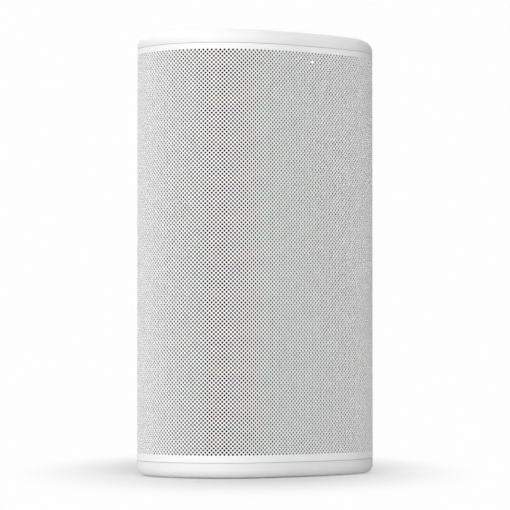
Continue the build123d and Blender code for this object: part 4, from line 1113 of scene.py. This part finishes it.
# %% [markdown]
# Contacts in the charging port
#
# Inside the port's steel mouth a plastic tongue carries two rows of gold contacts, twelve on
# each face, half a millimetre apart. They repeat in a line, so Geometry Nodes set one small flat
# strip on each point of two short rows.

# %% Lay the contacts
CONTACTS = 12
GOLD_DARK = (0.75, 0.5, 0.16, 1)
GOLD_LIGHT = (0.95, 0.68, 0.28, 1)


def gold(name):
    bench, place = blank(name, roughness=0.25, metallic=1.0)
    rub = bench.noise(place, scale=3000.0)
    feed(bench, base=bench.mix(rub, GOLD_DARK, GOLD_LIGHT), roughness=0.2 + rub * 0.15)


def contact_tree(sizes):
    bench, size = new_geometry_tree("port_contacts", sizes)
    strip = bench.point(size["Width"], size["Length"], size["Height"])
    cube = bench.geo("MeshCube", {"Size": strip})
    first = size["Pitch"] * (-(CONTACTS - 1) / 2)
    step = bench.point(size["Pitch"], 0.0, 0.0)
    rows = []
    for face in (-1.0, 1.0):
        start = bench.point(first, size["Front"], size["Middle"] + size["Face"] * face)
        row = {"Count": CONTACTS, "Start Location": start, "Offset": step}
        line = bench.geo("MeshLine", row, mode="OFFSET")
        rows.append(bench.geo("InstanceOnPoints", {"Points": line, "Instance": cube}))
    return finish_tree(bench, joined(bench, rows), "gold")


add_finishes(gold, {"gold": {}})
TONGUE_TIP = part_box("usb_tongue")[1].y
TONGUE_HALF_THICKNESS = 0.35 * MM
contact_values = {
    "Pitch": 0.5 * MM, "Length": 3.4 * MM, "Width": 0.26 * MM, "Height": 0.04 * MM,
    "Front": TONGUE_TIP - 2.1 * MM, "Face": TONGUE_HALF_THICKNESS,
    "Middle": middle_height("usb_tongue"),
}
contacts = plain_mesh("port_contacts", contact_tree(contact_values), contact_values)
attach(contacts, "housing")
print("contacts:", len(contacts.data.polygons) // 6)

# %% [markdown]
# The room: floor
#
# The speaker stands on a seamless white surface. The floor is a real diffuse surface near the
# speaker, so that it takes the lamps' soft shadows, and fades to plain white further out. Both the
# fade and a darker tone are only for rays that see the floor, and both are painted: the darker
# tone is painted shade that deepens the shade at the foot, and the fade is a painted shadow, an
# oval round the foot that is longest from front to back and lightens outwards. The light that
# bounces off it to the speaker comes from a paler floor without a fade.

# %% The floor
BACKGROUND = 0.985
FLOOR_SIZE = 8.0
FLOOR_WHITE = 0.80
# painted shade: the tone that camera, glossy and transmission rays see, darker than FLOOR_WHITE
PAINTED_FLOOR_SHADE = 0.553
# FADE_END and the SHADOW values shape the oval of painted shadow round the foot: its reach, turn, move back,
# move sideways and stretch.
FADE_END = 0.25  # metres from the middle of the shade
SHADOW_TURN = -39.75
SHADOW_BACK = 0.04
SHADOW_SHIFT = 0.005
SHADOW_STRETCH = 2.27


def grey(level):
    return (level, level, level, 1)


def ray_is(bench, *kinds):
    """1 for a ray of one of these kinds, such as Camera, and 0 for any other."""
    path = bench.node("ShaderNodeLightPath")
    matches = [Wire(bench, path.outputs[f"Is {kind} Ray"]) for kind in kinds]
    found = matches[0]
    for match in matches[1:]:
        found = bench.math("MAXIMUM", found, match)
    return found


def painted_shadow_fade(bench):
    """0 in the middle of the painted shadow and 1 outside it. The painted shadow is an oval, longest in
    depth.
    """
    x, y, z = bench.axes(bench.wire("ShaderNodeTexCoord", out="Object"))
    turn = radians(SHADOW_TURN)
    forwards = x * sin(turn) - y * cos(turn) + SHADOW_BACK
    sideways = (x * cos(turn) + y * sin(turn) + SHADOW_SHIFT) * SHADOW_STRETCH
    inputs = {"Value": distance(bench, forwards, sideways), "From Min": 0.0, "From Max": FADE_END}
    return bench.wire("ShaderNodeMapRange", inputs, interpolation_type="SMOOTHSTEP")


def floor_material():
    material = bpy.data.materials.new("studio_floor")
    bench = empty_bench(material)
    seen = ray_is(bench, "Camera", "Glossy", "Transmission")
    # painted shade: rays that see the floor get the darker tone, the light that bounces gets the paler one
    colour = bench.mix(seen, grey(FLOOR_WHITE), grey(PAINTED_FLOOR_SHADE))
    matt = bench.wire("ShaderNodeBsdfDiffuse", {"Color": colour})
    plain = {"Color": grey(BACKGROUND), "Strength": 1.0}
    white = bench.wire("ShaderNodeEmission", plain)
    # painted shadow: near the foot the darker floor shows, and further out the plain white
    inputs = {0: painted_shadow_fade(bench) * seen, 1: matt, 2: white}
    surface = bench.wire("ShaderNodeMixShader", inputs)
    bench.node("ShaderNodeOutputMaterial", {0: surface})
    return material


half = FLOOR_SIZE / 2
corners = [(-half, -half, 0), (half, -half, 0), (half, half, 0), (-half, half, 0)]
floor_mesh = bpy.data.meshes.new("studio_floor")
floor_mesh.from_pydata(corners, [], [(0, 1, 2, 3)])
floor_mesh.materials.append(floor_material())
add_object("studio_floor", floor_mesh)
print("floor is", FLOOR_SIZE, "m across")

# %% [markdown]
# The room: world
#
# The world is plain white where it is seen. As a light on the speaker it is softer, and grows
# from nothing on the right to its full strength on the left, which gives the right edge its thin
# dark line. Glossy rays get more of it than matt ones do, so the satin surfaces keep their sheen.

# %% The world
WORLD_FILL = 0.225
GLOSS_FILL = 0.74
BRIGHT_SIDE = -129.75


def white_world(fill, gloss_fill):
    """A white world that lights with fill, or with gloss_fill where a glossy ray finds it."""
    world = bpy.data.worlds.new("studio_world")
    bpy.context.scene.world = world
    bench = empty_bench(world)
    x, y, z = bench.axes(bench.wire("ShaderNodeTexCoord", out="Generated"))
    turn = radians(BRIGHT_SIDE)
    side = x * sin(turn) - y * cos(turn)
    strength = ray_is(bench, "Glossy") * (gloss_fill - fill) + fill
    soft = bench.wire("ShaderNodeBackground", {0: grey(1), 1: (side + 1.0) * strength})
    white = bench.wire("ShaderNodeBackground", {0: grey(BACKGROUND), 1: 1.0})
    seen = ray_is(bench, "Camera", "Transmission")
    surface = bench.wire("ShaderNodeMixShader", {0: seen, 1: soft, 2: white})
    bench.node("ShaderNodeOutputWorld", {0: surface})


white_world(WORLD_FILL, GLOSS_FILL)
print("world fill", WORLD_FILL, "and for gloss", GLOSS_FILL)

# %% [markdown]
# Lamps
#
# Four large, soft lamps light the speaker. The key stands on the left of the front and makes that
# side the brightest. A second one, higher up and further round to the middle, lights the soft
# edge of the top. A weak one fills the left side, and one high behind lights the back.
#
# They stand over three metres away: from there the top of the speaker is hardly nearer to a lamp
# than its foot, so it is lit evenly from top to bottom.


# %% Add the lamps
LAMP_DISTANCE = 3.2
LAMP_SIDE = 3.0
LAMPS = {
    "key": dict(azimuth=-45, elevation=35, power=62.0),
    "left": dict(azimuth=-125, elevation=20, power=11.5),
    "front": dict(azimuth=-31, elevation=50, power=39.2),
    "back": dict(azimuth=170, elevation=45, power=32.0),
}


def softbox(name, azimuth, elevation, power):
    """A square area lamp that looks at the middle of the speaker. Azimuth 0 is the front."""
    light = bpy.data.lights.new(name, "AREA")
    light.shape = "SQUARE"
    light.size = LAMP_SIDE
    light.energy = power
    turn, lift = radians(azimuth), radians(elevation)
    target = Vector((0, 0, (SLEEVE_BOTTOM + SLEEVE_TOP) / 2))
    away = Vector((sin(turn) * cos(lift), -cos(turn) * cos(lift), sin(lift)))
    lamp = add_object(name, light)
    lamp.location = target + away * LAMP_DISTANCE
    lamp.rotation_euler = (-away).to_track_quat("-Z", "Y").to_euler()


for name, aim in LAMPS.items():
    softbox(name, **aim)
print("lamps:", list(LAMPS))

# %% [markdown]
# Camera
#
# The camera stands low, a little under a third of the speaker's height, and looks slightly up
# from the left of its front. Its lens is long, so the upright edges stay nearly parallel.

# %% Place the camera
CAMERA_AZIMUTH = -39.75
CAMERA_DISTANCE = 1331 * MM
CAMERA_HEIGHT = 59.3 * MM
CAMERA_TILT = 1.6136
CAMERA_YAW = 0.019
CAMERA_LENS = 212.4
SENSOR_WIDTH = 36.0
NEAREST = 0.05
camera_data = bpy.data.cameras.new("camera")
camera_data.lens = CAMERA_LENS
camera_data.sensor_width = SENSOR_WIDTH
camera_data.clip_start = NEAREST
camera = add_object("camera", camera_data)
turn = radians(CAMERA_AZIMUTH)
camera.location = (sin(turn) * CAMERA_DISTANCE, -cos(turn) * CAMERA_DISTANCE, CAMERA_HEIGHT)
camera.rotation_euler = (radians(90 + CAMERA_TILT), 0, turn + radians(CAMERA_YAW))
bpy.context.scene.camera = camera
bpy.context.scene.view_settings.view_transform = "Standard"
print("camera at", [round(v, 3) for v in camera.location])
